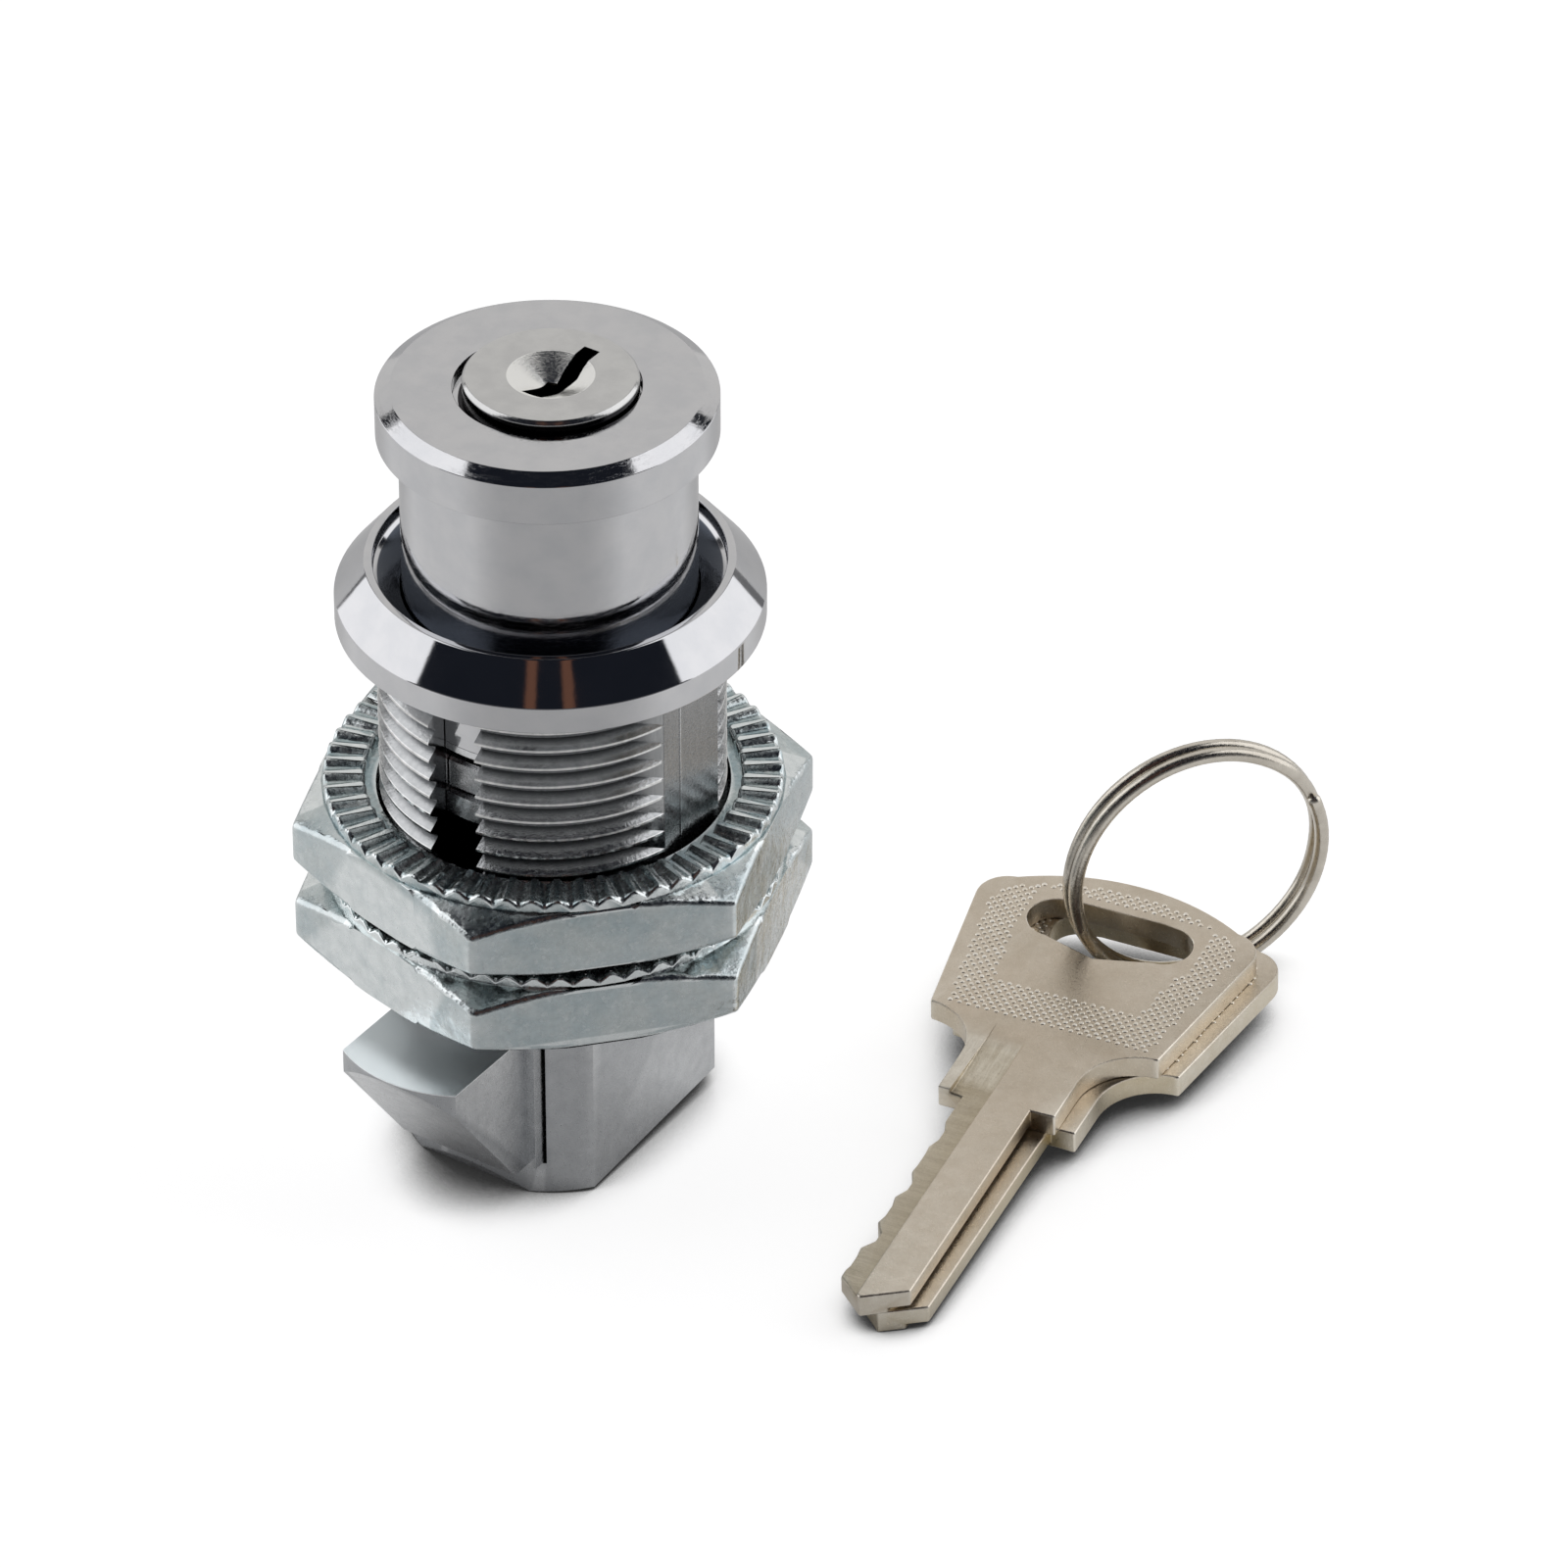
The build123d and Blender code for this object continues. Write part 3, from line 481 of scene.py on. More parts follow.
# ---- finishes ------------------------------------------------------------------
class Finish:
    """One metal finish: its shader and where its patterns lie on the piece."""

    def __init__(self, name, colour, roughness):
        self.material = bpy.data.materials.new(name)
        self.tree = new_tree(self.material)
        self.shader = self.tree.nodes.new("ShaderNodeBsdfPrincipled")
        self.shader.inputs["Base Color"].default_value = (*colour, 1)
        self.shader.inputs["Metallic"].default_value = 1.0
        self.shader.inputs["Roughness"].default_value = roughness
        output = self.tree.nodes.new("ShaderNodeOutputMaterial")
        link(self.tree, self.shader.outputs[0], output.inputs[0])
        coordinate = self.tree.nodes.new("ShaderNodeTexCoord")
        self.place = coordinate.outputs["Object"]

    def stretched(self, factors, place=None):
        """The place drawn out, so that a pattern follows one direction."""
        node = self.tree.nodes.new("ShaderNodeMapping")
        node.inputs["Scale"].default_value = factors
        link(self.tree, place or self.place, node.inputs["Vector"])
        return node.outputs["Vector"]

    def laid(self, matrix):
        """The place in the axes of a piece that lies turned."""
        node = self.tree.nodes.new("ShaderNodeMapping")
        node.vector_type = "TEXTURE"
        node.inputs["Location"].default_value = matrix.translation
        node.inputs["Rotation"].default_value = matrix.to_euler()
        link(self.tree, self.place, node.inputs["Vector"])
        return node.outputs["Vector"]

    def parts(self, place=None):
        """X, Y and Z of the place."""
        node = self.tree.nodes.new("ShaderNodeSeparateXYZ")
        link(self.tree, place or self.place, node.inputs[0])
        return node.outputs

    def radius(self, shift=(0.0, 0.0)):
        """How far from the lock's axis, or from a line beside it, in millimetres aside."""
        x, y, _ = self.parts()
        x = math_node(self.tree, "SUBTRACT", x, shift[0] * MM)
        y = math_node(self.tree, "SUBTRACT", y, shift[1] * MM)
        square = plus(self.tree, times(self.tree, x, x), times(self.tree, y, y))
        return math_node(self.tree, "SQRT", square)

    def colour(self, value):
        link(self.tree, value, self.shader.inputs["Base Color"])

    def roughness(self, value):
        link(self.tree, value, self.shader.inputs["Roughness"])

    def relief(self, height, depth):
        """Fine relief, as deep as given."""
        bump = self.tree.nodes.new("ShaderNodeBump")
        bump.inputs["Distance"].default_value = depth
        link(self.tree, height, bump.inputs["Height"])
        link(self.tree, bump.outputs["Normal"], self.shader.inputs["Normal"])


CHROME_CLEAR = (0.63, 0.63, 0.64)
CHROME_CLOUD = (0.585, 0.59, 0.605)
# thread tones: painted shade in its roots and bore, the plain flank tone, a painted highlight on
# its crests
PAINTED_INNER_SHADE = (0.16, 0.165, 0.172)
CASTING_MID = (0.52, 0.53, 0.535)
PAINTED_CREST_HIGHLIGHT = (0.85, 0.85, 0.84)
CASTING_WIPED = (0.20, 0.21, 0.215)
CASTING_FLAT = (0.34, 0.345, 0.35)
DISH_SHADE = (0.07, 0.08, 0.098)


def chrome_finish(effects):
    """Polished chrome of the button: faint clouds, orange peel and hairlines."""
    f = Finish("polished_chrome", CHROME_CLEAR, 0.06)
    t = f.tree
    grain = effect(t, effects["grain"], Place=f.place, Grain=3500.0, Patch=420.0)
    round_it = f.stretched((1.0, 1.0, 9.0))
    hair = effect(t, effects["scratch"], Place=round_it, Density=260.0)
    f.colour(mix_colour(t, grain["Patch"], CHROME_CLOUD, CHROME_CLEAR))
    rough = blend_value(t, grain["Patch"], 0.045, 0.085)
    f.roughness(plus(t, rough, times(t, hair["Scratch"], 0.12)))
    f.relief(plus(t, grain["Patch"], times(t, grain["Grain"], 0.12)), 0.004 * MM)
    return f.material


def barrel_finish(effects):
    """Chromed bezel above; below it the thin, duller plating of the threads and flats, with
    painted shade in the thread roots and bore and a painted highlight along each crest.
    """
    f = Finish("chromed_casting", CHROME_CLEAR, 0.06)
    t = f.tree
    x, _, z = f.parts()
    radius = f.radius()
    grain = effect(t, effects["grain"], Place=f.place, Grain=3600.0, Patch=380.0)
    wiped = effect(t, effects["scratch"], Place=f.stretched((1.0, 1.0, 0.15)), Density=1500.0)
    below = less(t, ramp(t, z, -0.45 * MM, -0.1 * MM))
    reach = ramp(t, math_node(t, "ABSOLUTE", x), 12.9 * MM, 12.98 * MM)
    # painted shade deep in the thread roots and the bore, lightening up the flanks, and a
    # painted highlight along each crest
    outside = ramp(t, radius, 12.6 * MM, 13.25 * MM)
    crest = ramp(t, radius, 13.40 * MM, 13.49 * MM)
    crest = times(t, crest, less(t, reach))
    low = mix_colour(t, outside, PAINTED_INNER_SHADE, CASTING_MID)
    low = mix_colour(t, crest, low, PAINTED_CREST_HIGHLIGHT)
    low = mix_colour(t, reach, low, CASTING_FLAT)
    low = mix_colour(t, times(t, wiped["Streak"], 0.35), low, CASTING_WIPED)
    clear = mix_colour(t, grain["Patch"], CHROME_CLOUD, CHROME_CLEAR)
    dish = times(t, ramp(t, z, 1.5 * MM, 2.0 * MM),
                 less(t, ramp(t, radius, 13.2 * MM, 13.3 * MM)))
    clear = mix_colour(t, dish, clear, DISH_SHADE)
    f.colour(mix_colour(t, below, clear, low))
    chrome_rough = blend_value(t, grain["Patch"], 0.045, 0.08)
    chrome_rough = plus(t, chrome_rough, times(t, dish, 0.09))
    cast_rough = blend_value(t, grain["Grain"], 0.12, 0.22)
    cast_rough = plus(t, cast_rough, times(t, reach, 0.08))
    node = t.nodes.new("ShaderNodeMix")
    link(t, below, node.inputs["Factor"])
    link(t, chrome_rough, node.inputs[2])
    link(t, cast_rough, node.inputs[3])
    f.roughness(node.outputs[0])
    height = times(t, grain["Grain"], blend_value(t, below, 0.04, 1.0))
    height = plus(t, height, times(t, grain["Patch"], 0.3))
    f.relief(height, 0.005 * MM)
    return f.material


ZINC_COOL = (0.34, 0.435, 0.465)
ZINC_WARM = (0.49, 0.545, 0.54)
ZINC_BRIGHT = (0.84, 0.88, 0.88)
ZINC_GRIME = (0.10, 0.115, 0.125)


def zinc_finish(effects):
    """Blue-bright zinc plate of the nuts: frosted, rubbed on its edges."""
    f = Finish("frosted_zinc", ZINC_COOL, 0.3)
    t = f.tree
    grain = effect(t, effects["grain"], Place=f.place, Grain=2600.0, Patch=330.0)
    frost = effect(t, effects["frost"], Place=f.place, Crystals=3400.0)
    wear = effect(t, effects["wear"], Place=f.place, Reach=0.05)
    base = mix_colour(t, grain["Patch"], ZINC_COOL, ZINC_WARM)
    sparkle = times(t, ramp(t, frost["Tone"], 0.8, 1.0), 0.3)
    base = mix_colour(t, sparkle, base, ZINC_BRIGHT)
    pits = times(t, less(t, grain["Grain"]), 0.22)
    base = mix_colour(t, pits, base, ZINC_GRIME)
    f.colour(mix_colour(t, wear["Edge"], base, ZINC_BRIGHT))
    f.roughness(blend_value(t, frost["Tone"], 0.16, 0.3))
    f.relief(plus(t, times(t, frost["Relief"], 0.6), times(t, grain["Patch"], 3.5)), 0.018 * MM)
    return f.material


SATIN_LIGHT = (0.385, 0.397, 0.412)
SATIN_DARK = (0.335, 0.347, 0.362)
SATIN_EDGE = (0.74, 0.75, 0.76)
GROUND_FACE = (0.95, 0.98, 0.99)


def casting_finish(effects, name, ground_z=None):
    """Satin plated casting; a bolt's catching face is ground bright at its height."""
    f = Finish(name, SATIN_LIGHT, 0.3)
    t = f.tree
    grain = effect(t, effects["grain"], Place=f.place, Grain=4200.0, Patch=300.0)
    drawn_down = effect(t, effects["scratch"], Place=f.stretched((1.0, 1.0, 0.1)),
                        Density=1300.0)
    wear = effect(t, effects["wear"], Place=f.place, Reach=0.07)
    base = mix_colour(t, grain["Patch"], SATIN_DARK, SATIN_LIGHT)
    base = mix_colour(t, times(t, drawn_down["Streak"], 0.5), base, SATIN_DARK)
    base = mix_colour(t, wear["Edge"], base, SATIN_EDGE)
    rough = blend_value(t, grain["Grain"], 0.2, 0.28)
    relief = grain["Grain"]
    if ground_z is not None:
        ground = ramp(t, f.parts()[2], ground_z - 0.12 * MM, ground_z - 0.04 * MM)
        base = mix_colour(t, ground, base, GROUND_FACE)
        rough = plus(t, rough, times(t, ground, 0.12))
        relief = times(t, relief, less(t, ground))
    f.colour(base)
    f.roughness(rough)
    f.relief(relief, 0.003 * MM)
    return f.material


NICKEL = (0.56, 0.465, 0.355)
NICKEL_DULL = (0.49, 0.405, 0.30)
NICKEL_MILLED = (0.44, 0.375, 0.285)
NICKEL_SCRATCHED = (0.58, 0.51, 0.40)
NICKEL_EDGE = (0.92, 0.87, 0.77)
BRASS_SHOWING = (0.60, 0.50, 0.26)
# the dots' tones, well above the key's nickel: partly rubbed bright, partly a painted highlight
DOT_DARK, DOT_BRIGHT = (0.78, 0.70, 0.58), (0.98, 0.94, 0.86)
WIRE_DARK, WIRE_BRIGHT = (0.47, 0.43, 0.37), (0.62, 0.58, 0.51)
MILLED_SIDE = (0.86 * MM, 6.0 * MM)       # across the key
MILLED_END = (30.5 * MM, 32.8 * MM)       # along it, from the tip
MILL_RUNOUT = (26.0 * MM, 31.6 * MM)
KEY_FACE = (1.80 * MM, 1.93 * MM)         # above it the flat face, below it the sides


def key_finish(effects, name, place, milled_from, edge_tint):
    """Warm nickel of a stamped key, with the mill's cross scratches on its blade."""
    f = Finish(name, NICKEL, 0.3)
    t = f.tree
    lying = f.laid(place)
    grain = effect(t, effects["grain"], Place=f.place, Grain=4800.0, Patch=210.0)
    across = effect(t, effects["scratch"], Place=f.stretched((1.0, 0.08, 1.0), lying),
                    Density=1700.0)
    along = effect(t, effects["scratch"], Place=f.stretched((0.1, 1.0, 1.0), lying),
                   Density=1500.0)
    wear = effect(t, effects["wear"], Place=f.place, Reach=0.08)
    a, b, up = f.parts(lying)
    milled = times(t, band(t, b, *MILLED_SIDE, 0.03 * MM), less(t, ramp(t, a, *MILLED_END)))
    milled = times(t, milled, ramp(t, up, milled_from, milled_from + 0.2 * MM))
    face = ramp(t, up, *KEY_FACE)
    base = mix_colour(t, grain["Patch"], NICKEL_DULL, NICKEL)
    streaks = mix_colour(t, across["Streak"], NICKEL_MILLED, NICKEL_SCRATCHED)
    runout = times(t, band(t, a, *MILL_RUNOUT, 0.8 * MM),
                   plus(t, times(t, along["Streak"], 0.75), 0.15))
    streaks = mix_colour(t, runout, streaks, NICKEL_EDGE)
    base = mix_colour(t, milled, base, streaks)
    side = times(t, less(t, face), edge_tint)
    base = mix_colour(t, side, base, BRASS_SHOWING)
    f.colour(mix_colour(t, wear["Edge"], base, NICKEL_EDGE))
    rough = blend_value(t, grain["Grain"], 0.27, 0.4)
    rough = plus(t, rough, times(t, milled, 0.08))
    f.roughness(rough)
    height = plus(t, times(t, grain["Grain"], 0.7),
                  times(t, across["Streak"], times(t, milled, 2.0)))
    f.relief(height, 0.008 * MM)
    return f.material


def dot_finish(effects):
    """The key's raised dots, rubbed bright in the pocket, and lighter still with a painted
    highlight.
    """
    f = Finish("rubbed_and_highlit_nickel", (0.86, 0.79, 0.68), 0.3)
    t = f.tree
    grain = effect(t, effects["grain"], Place=f.place, Grain=2400.0, Patch=260.0)
    f.colour(mix_colour(t, grain["Grain"], DOT_DARK, DOT_BRIGHT))
    f.roughness(blend_value(t, grain["Grain"], 0.28, 0.42))
    return f.material


def ring_finish(effects):
    """Drawn nickel wire: bright, a little clouded, rubbed at its cut ends."""
    f = Finish("drawn_wire", (0.56, 0.52, 0.46), 0.14)
    t = f.tree
    grain = effect(t, effects["grain"], Place=f.place, Grain=3600.0, Patch=500.0)
    wear = effect(t, effects["wear"], Place=f.place, Reach=0.12)
    wire = mix_colour(t, grain["Patch"], WIRE_DARK, WIRE_BRIGHT)
    f.colour(mix_colour(t, wear["Edge"], wire, NICKEL_EDGE))
    rough = blend_value(t, grain["Grain"], 0.10, 0.2)
    f.roughness(plus(t, rough, times(t, wear["Edge"], 0.35)))
    f.relief(grain["Grain"], 0.003 * MM)
    return f.material


PLUG_DARK, PLUG_LIGHT = (0.575, 0.575, 0.57), (0.64, 0.64, 0.63)
# a painted highlight on the countersink, and painted shade down the side and in the keyway
PLUG_CONE_HIGHLIGHT = (0.93, 0.93, 0.91)
PLUG_PAINTED_SHADE = (0.025, 0.024, 0.026)


def plug_finish(effects):
    """Satin nickel of the plug, turned: fine rings on its face, painted shade down its side and
    in its keyway, and a painted highlight on its countersink.
    """
    f = Finish("turned_nickel", (0.60, 0.60, 0.59), 0.2)
    t = f.tree
    rings = t.nodes.new("ShaderNodeTexNoise")
    rings.noise_dimensions = "1D"
    rings.inputs["Scale"].default_value = 9000.0
    rings.inputs["Detail"].default_value = 3.0
    link(t, f.radius(), rings.inputs["W"])
    grain = effect(t, effects["grain"], Place=f.place, Grain=4200.0, Patch=380.0)
    face = mix_colour(t, grain["Patch"], PLUG_DARK, PLUG_LIGHT)
    # painted shade down the plug's side, below its face
    side = times(t, ramp(t, f.radius(), 6.2 * MM, 6.4 * MM),
                 less(t, ramp(t, f.parts()[2], (PLUG_FACE_Z - 0.42) * MM,
                              (PLUG_FACE_Z - 0.3) * MM)))
    radius = f.radius(PLUG_FACE_SHIFT)
    dip = math_node(t, "MAXIMUM", math_node(t, "SUBTRACT", CONE_R * MM, radius), 0.0)
    dip = times(t, dip, CONE_DEPTH / (CONE_R - 0.3))
    level = plus(t, f.parts()[2], dip)
    # painted shade in the keyway, below the level of the face and the countersink
    inside = less(t, ramp(t, level, (PLUG_FACE_Z - 0.3) * MM, (PLUG_FACE_Z - 0.12) * MM))
    inside = times(t, inside, less(t, ramp(t, radius, 6.0 * MM, 6.1 * MM)))
    painted_shade = math_node(t, "MAXIMUM", side, inside)
    # painted highlight over the whole countersink
    cone = less(t, ramp(t, radius, (CONE_R - 0.06) * MM, CONE_R * MM))
    face = mix_colour(t, cone, face, PLUG_CONE_HIGHLIGHT)
    f.colour(mix_colour(t, painted_shade, face, PLUG_PAINTED_SHADE))
    f.roughness(blend_value(t, grain["Grain"], 0.12, 0.22))
    f.relief(plus(t, rings.outputs["Fac"], grain["Grain"]), 0.002 * MM)
    return f.material


def plain_stock_finish(effects, name, colour, dull, roughness):
    """Small inner parts of steel, brass or spring wire."""
    f = Finish(name, colour, roughness)
    t = f.tree
    grain = effect(t, effects["grain"], Place=f.place, Grain=4500.0, Patch=650.0)
    f.colour(mix_colour(t, grain["Patch"], dull, colour))
    f.roughness(blend_value(t, grain["Grain"], roughness - 0.06, roughness + 0.06))
    f.relief(grain["Grain"], 0.004 * MM)
    return f.material


# ---- modelling helpers -----------------------------------------------------
def deselect():
    if bpy.context.mode != "OBJECT":
        bpy.ops.object.mode_set(mode="OBJECT")
    bpy.ops.object.select_all(action="DESELECT")


def pick(piece):
    """Make a piece the only one selected."""
    deselect()
    piece.select_set(True)
    bpy.context.view_layer.objects.active = piece


def settle(piece):
    """Apply a piece's own placing, so that its object stands at the origin."""
    pick(piece)
    bpy.ops.object.transform_apply(location=True, rotation=True, scale=True)


def edit_whole():
    """Edit the picked piece, all of it selected."""
    bpy.ops.object.mode_set(mode="EDIT")
    bpy.ops.mesh.select_all(action="SELECT")


def face_outward():
    """Turn the edited piece's faces outwards, and leave the edit."""
    bpy.ops.mesh.select_all(action="SELECT")
    bpy.ops.mesh.normals_make_consistent(inside=False)
    bpy.ops.object.mode_set(mode="OBJECT")


def cad_copy(node, name, pierced=Vector((0, 0, 1)), quartered=False):
    """A merged copy of a CAD node, its flats whole again but for the pierced ones.

    Quartered flats are whole too, in four parts round their hole.
    """
    piece = bpy.data.objects.new(name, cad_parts[node].data.copy())
    bpy.context.scene.collection.objects.link(piece)
    pick(piece)
    edit_whole()
    bpy.ops.mesh.remove_doubles(threshold=CAD_DOUBLES)
    if quartered:
        for normal in ((1, 0, 0), (0, 1, 0)):
            bpy.ops.mesh.select_all(action="SELECT")
            bpy.ops.mesh.bisect(plane_co=(0, 0, 0), plane_no=normal)
            bpy.ops.mesh.mark_seam()
    bpy.ops.mesh.select_mode(type="FACE")
    bpy.ops.object.mode_set(mode="OBJECT")
    for face in piece.data.polygons:
        face.select = quartered or abs(face.normal.dot(pierced)) < 0.99
    bpy.ops.object.mode_set(mode="EDIT")
    bpy.ops.mesh.dissolve_limited(angle_limit=radians(FLAT_ANGLE), delimit={"SEAM"})
    bpy.ops.mesh.select_mode(type="VERT")
    bpy.ops.object.mode_set(mode="OBJECT")
    return piece


def round_edges(piece, width, segments=2, angle=EDGE_ANGLE):
    """Round the sharp edges of a piece."""
    pick(piece)
    bevel = piece.modifiers.new("edges", "BEVEL")
    bevel.limit_method = "ANGLE"
    bevel.angle_limit = radians(angle)
    bevel.width = width
    bevel.segments = segments
    bevel.use_clamp_overlap = True
    bpy.ops.object.modifier_apply(modifier=bevel.name)


def round_hexagon(piece, inner, width):
    """Round a nut's outer edges more than its teeth; inner is where they start."""
    pick(piece)
    bpy.ops.object.mode_set(mode="EDIT")
    bpy.ops.mesh.select_mode(type="EDGE")
    bpy.ops.mesh.select_all(action="DESELECT")
    bpy.ops.mesh.edges_select_sharp(sharpness=radians(18))
    bpy.ops.object.mode_set(mode="OBJECT")
    points = piece.data.vertices
    for edge in piece.data.edges:
        near = min(hypot(points[k].co.x, points[k].co.y) for k in edge.vertices)
        edge.select = edge.select and near > inner * MM
    bpy.ops.object.mode_set(mode="EDIT")
    bpy.ops.mesh.bevel(offset=width, segments=3, profile=0.5, clamp_overlap=False)
    bpy.ops.mesh.select_mode(type="VERT")
    bpy.ops.object.mode_set(mode="OBJECT")


def cut(piece, cutter):
    """Cut one solid out of another, and drop the cutter."""
    pick(piece)
    tool = piece.modifiers.new("cut", "BOOLEAN")
    tool.operation = "DIFFERENCE"
    tool.solver = "EXACT"
    tool.object = cutter
    bpy.ops.object.modifier_apply(modifier=tool.name)
    bpy.data.objects.remove(cutter, do_unlink=True)


def block(x0, x1, y0, y1, z0, z1):
    """A cutting block between two corners, in millimetres."""
    deselect()
    bpy.ops.mesh.primitive_cube_add(size=1.0)
    cutter = bpy.context.object
    cutter.scale = ((x1 - x0) * MM, (y1 - y0) * MM, (z1 - z0) * MM)
    cutter.location = ((x0 + x1) / 2 * MM, (y0 + y1) / 2 * MM, (z0 + z1) / 2 * MM)
    settle(cutter)
    return cutter


def bar(radius, start, end):
    """A round cutting bar between two points, in millimetres."""
    a, b = Vector(start) * MM, Vector(end) * MM
    deselect()
    bpy.ops.mesh.primitive_cylinder_add(vertices=BAR_SIDES, radius=radius * MM,
                                        depth=(b - a).length, location=(a + b) / 2,
                                        rotation=(b - a).to_track_quat("Z", "Y").to_euler())
    cutter = bpy.context.object
    settle(cutter)
    return cutter


def drawn(name, points):
    """A line of edges through the points, in millimetres, drawn vertex by vertex."""
    deselect()
    bpy.ops.mesh.primitive_plane_add(size=MM)
    piece = bpy.context.object
    piece.name = name
    edit_whole()
    bpy.ops.mesh.merge(type="CENTER")
    bpy.ops.transform.translate(value=Vector(points[0]) * MM)
    here = Vector(points[0])
    for point in points[1:]:
        step = (Vector(point) - here) * MM
        bpy.ops.mesh.extrude_region_move(TRANSFORM_OT_translate={"value": step})
        here = Vector(point)
    bpy.ops.object.mode_set(mode="OBJECT")
    return piece


def turned(name, outline):
    """A solid turned about the lock's axis from a closed (radius, z) outline."""
    points = [(r, 0, z) for r, z in outline]
    piece = drawn(name, points + points[:1])
    edit_whole()
    bpy.ops.mesh.remove_doubles(threshold=DOUBLES)
    bpy.ops.mesh.spin(steps=TURNED_STEPS, angle=tau, center=(0, 0, 0), axis=(0, 0, 1))
    bpy.ops.mesh.select_all(action="SELECT")
    bpy.ops.mesh.remove_doubles(threshold=DOUBLES)
    face_outward()
    return piece


def prism(name, outline, z0, z1):
    """A solid raised from a closed (x, y) outline."""
    piece = drawn(name, [(x, y, z0) for x, y in outline])
    edit_whole()
    bpy.ops.mesh.edge_face_add()
    bpy.ops.mesh.extrude_region_move(TRANSFORM_OT_translate={"value": (0, 0, (z1 - z0) * MM)})
    face_outward()
    return piece


def wound(name, section, turns, rise, steps):
    """A closed (radius, z) section wound round the Z axis, its two ends capped."""
    points = [(r, 0, z) for r, z in section]
    piece = drawn(name, points + points[:1])
    edit_whole()
    bpy.ops.mesh.remove_doubles(threshold=DOUBLES)
    bpy.ops.object.mode_set(mode="OBJECT")
    screw = piece.modifiers.new("winding", "SCREW")
    screw.angle = tau * turns
    screw.screw_offset = rise * MM
    screw.steps = screw.render_steps = int(steps * turns)
    screw.use_smooth_shade = True
    bpy.ops.object.modifier_apply(modifier=screw.name)
    bpy.ops.object.mode_set(mode="EDIT")
    bpy.ops.mesh.select_all(action="DESELECT")
    bpy.ops.mesh.select_non_manifold(extend=False, use_boundary=True)
    bpy.ops.mesh.fill_holes(sides=0)
    face_outward()
    return piece


def circle_section(mean_r, wire_r, sides=12):
    """A round wire's section, standing at a radius from the axis."""
    return [(mean_r + wire_r * cos(tau * k / sides), wire_r * sin(tau * k / sides))
            for k in range(sides)]


def joined(name, pieces):
    """Several pieces as one."""
    pick(pieces[0])
    for piece in pieces[1:]:
        piece.select_set(True)
    bpy.ops.object.join()
    pieces[0].name = name
    return pieces[0]


def dress(piece, body, slot, material, *nodes, weighted=False):
    """Give a finished piece its body, finish and the CAD nodes that it stands for."""
    settle(piece)
    bpy.ops.object.shade_smooth_by_angle(angle=radians(SMOOTH_ANGLE))
    if weighted:
        even = piece.modifiers.new("even_shading", "WEIGHTED_NORMAL")
        even.keep_sharp = True
        bpy.ops.object.modifier_apply(modifier=even.name)
    piece.data.materials.clear()
    piece.data.materials.append(material)
    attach(piece, body)
    if nodes:
        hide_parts(*nodes)


# ---- barrel ----------------------------------------------------------------
def thread_groove():
    """The thread's groove as a cutter, kept off the side flats."""
    crest = (THREAD_PITCH - THREAD_LAND) / 2
    root = THREAD_ROOT / 2
    out = THREAD_R + 0.8
    section = [(THREAD_R - THREAD_DEPTH, -root), (THREAD_R + 0.02, -crest), (out, -crest),
               (out, crest), (THREAD_R + 0.02, crest), (THREAD_R - THREAD_DEPTH, root)]
    turns = int((THREAD_TOP_Z - BARREL_END_Z) / THREAD_PITCH) + 1
    groove = wound("thread_groove", section, turns, turns * THREAD_PITCH, THREAD_STEPS)
    groove.location = (0, 0, (THREAD_TOP_Z - turns * THREAD_PITCH) * MM)
    settle(groove)
    for side in (-1, 1):
        edge, foot = FLAT_HALF_W, FLAT_RUNOUT_Y
        outline = [(side * PAST_THREAD, -edge), (side * FLAT_X, -edge),
                   (side * FLAT_RUNOUT_X, -foot), (side * FLAT_RUNOUT_X, foot),
                   (side * FLAT_X, edge), (side * PAST_THREAD, edge)]
        cut(groove, prism("guard", outline, BARREL_END_Z - 8.0, 4.0))
    return groove


def threaded_barrel():
    """Bezel and threaded barrel, one casting."""
    piece = turned("threaded_barrel", [
        (BORE_R, BARREL_END_Z), (THREAD_R - BARREL_CHAMFER, BARREL_END_Z),
        (THREAD_R, BARREL_END_Z + BARREL_CHAMFER), (THREAD_R, 0), (BEZEL_R, 0),
        (BEZEL_R, BEZEL_BAND_H), (RIM_R, RIM_Z), (RIM_R - RIM_LAND, RIM_Z),
        (RIM_R - RIM_LAND, RIM_Z - RIM_WALL_H), (BORE_R, DISH_Z),
    ])
    round_edges(piece, BEZEL_ROUND, 3, 20)
    inner, outer = WALL_CUT
    for side in (-1, 1):
        near, far = sorted((side * FLAT_X, side * PAST_THREAD))
        cut(piece, block(near, far, -14.5, 14.5, BARREL_END_Z - 1, -0.02))
        cut(piece, bar(PIN_HOLE_R, (side * inner, 0, DOWEL_Z), (side * outer, 0, DOWEL_Z)))
    cut(piece, block(-WINDOW_W / 2, WINDOW_W / 2, -outer, -inner, *WINDOW_Z))
    cut(piece, bar(PIN_HOLE_R, (0, inner, STOP_PIN_Z), (0, outer, STOP_PIN_Z)))
    cut(piece, thread_groove())
    return piece


def casting_line():
    """The raised parting line down each side flat of the barrel."""
    lines = []
    for side, y in ((1, CASTING_LINE_Y), (-1, -CASTING_LINE_Y)):
        outline = [(side * (FLAT_X - 0.3), y - 0.14), (side * (FLAT_X + 0.07), y - 0.04),
                   (side * (FLAT_X + 0.07), y + 0.04), (side * (FLAT_X - 0.3), y + 0.14)]
        lines.append(prism("line", outline, *CASTING_LINE_Z))
    return joined("casting_line", lines)


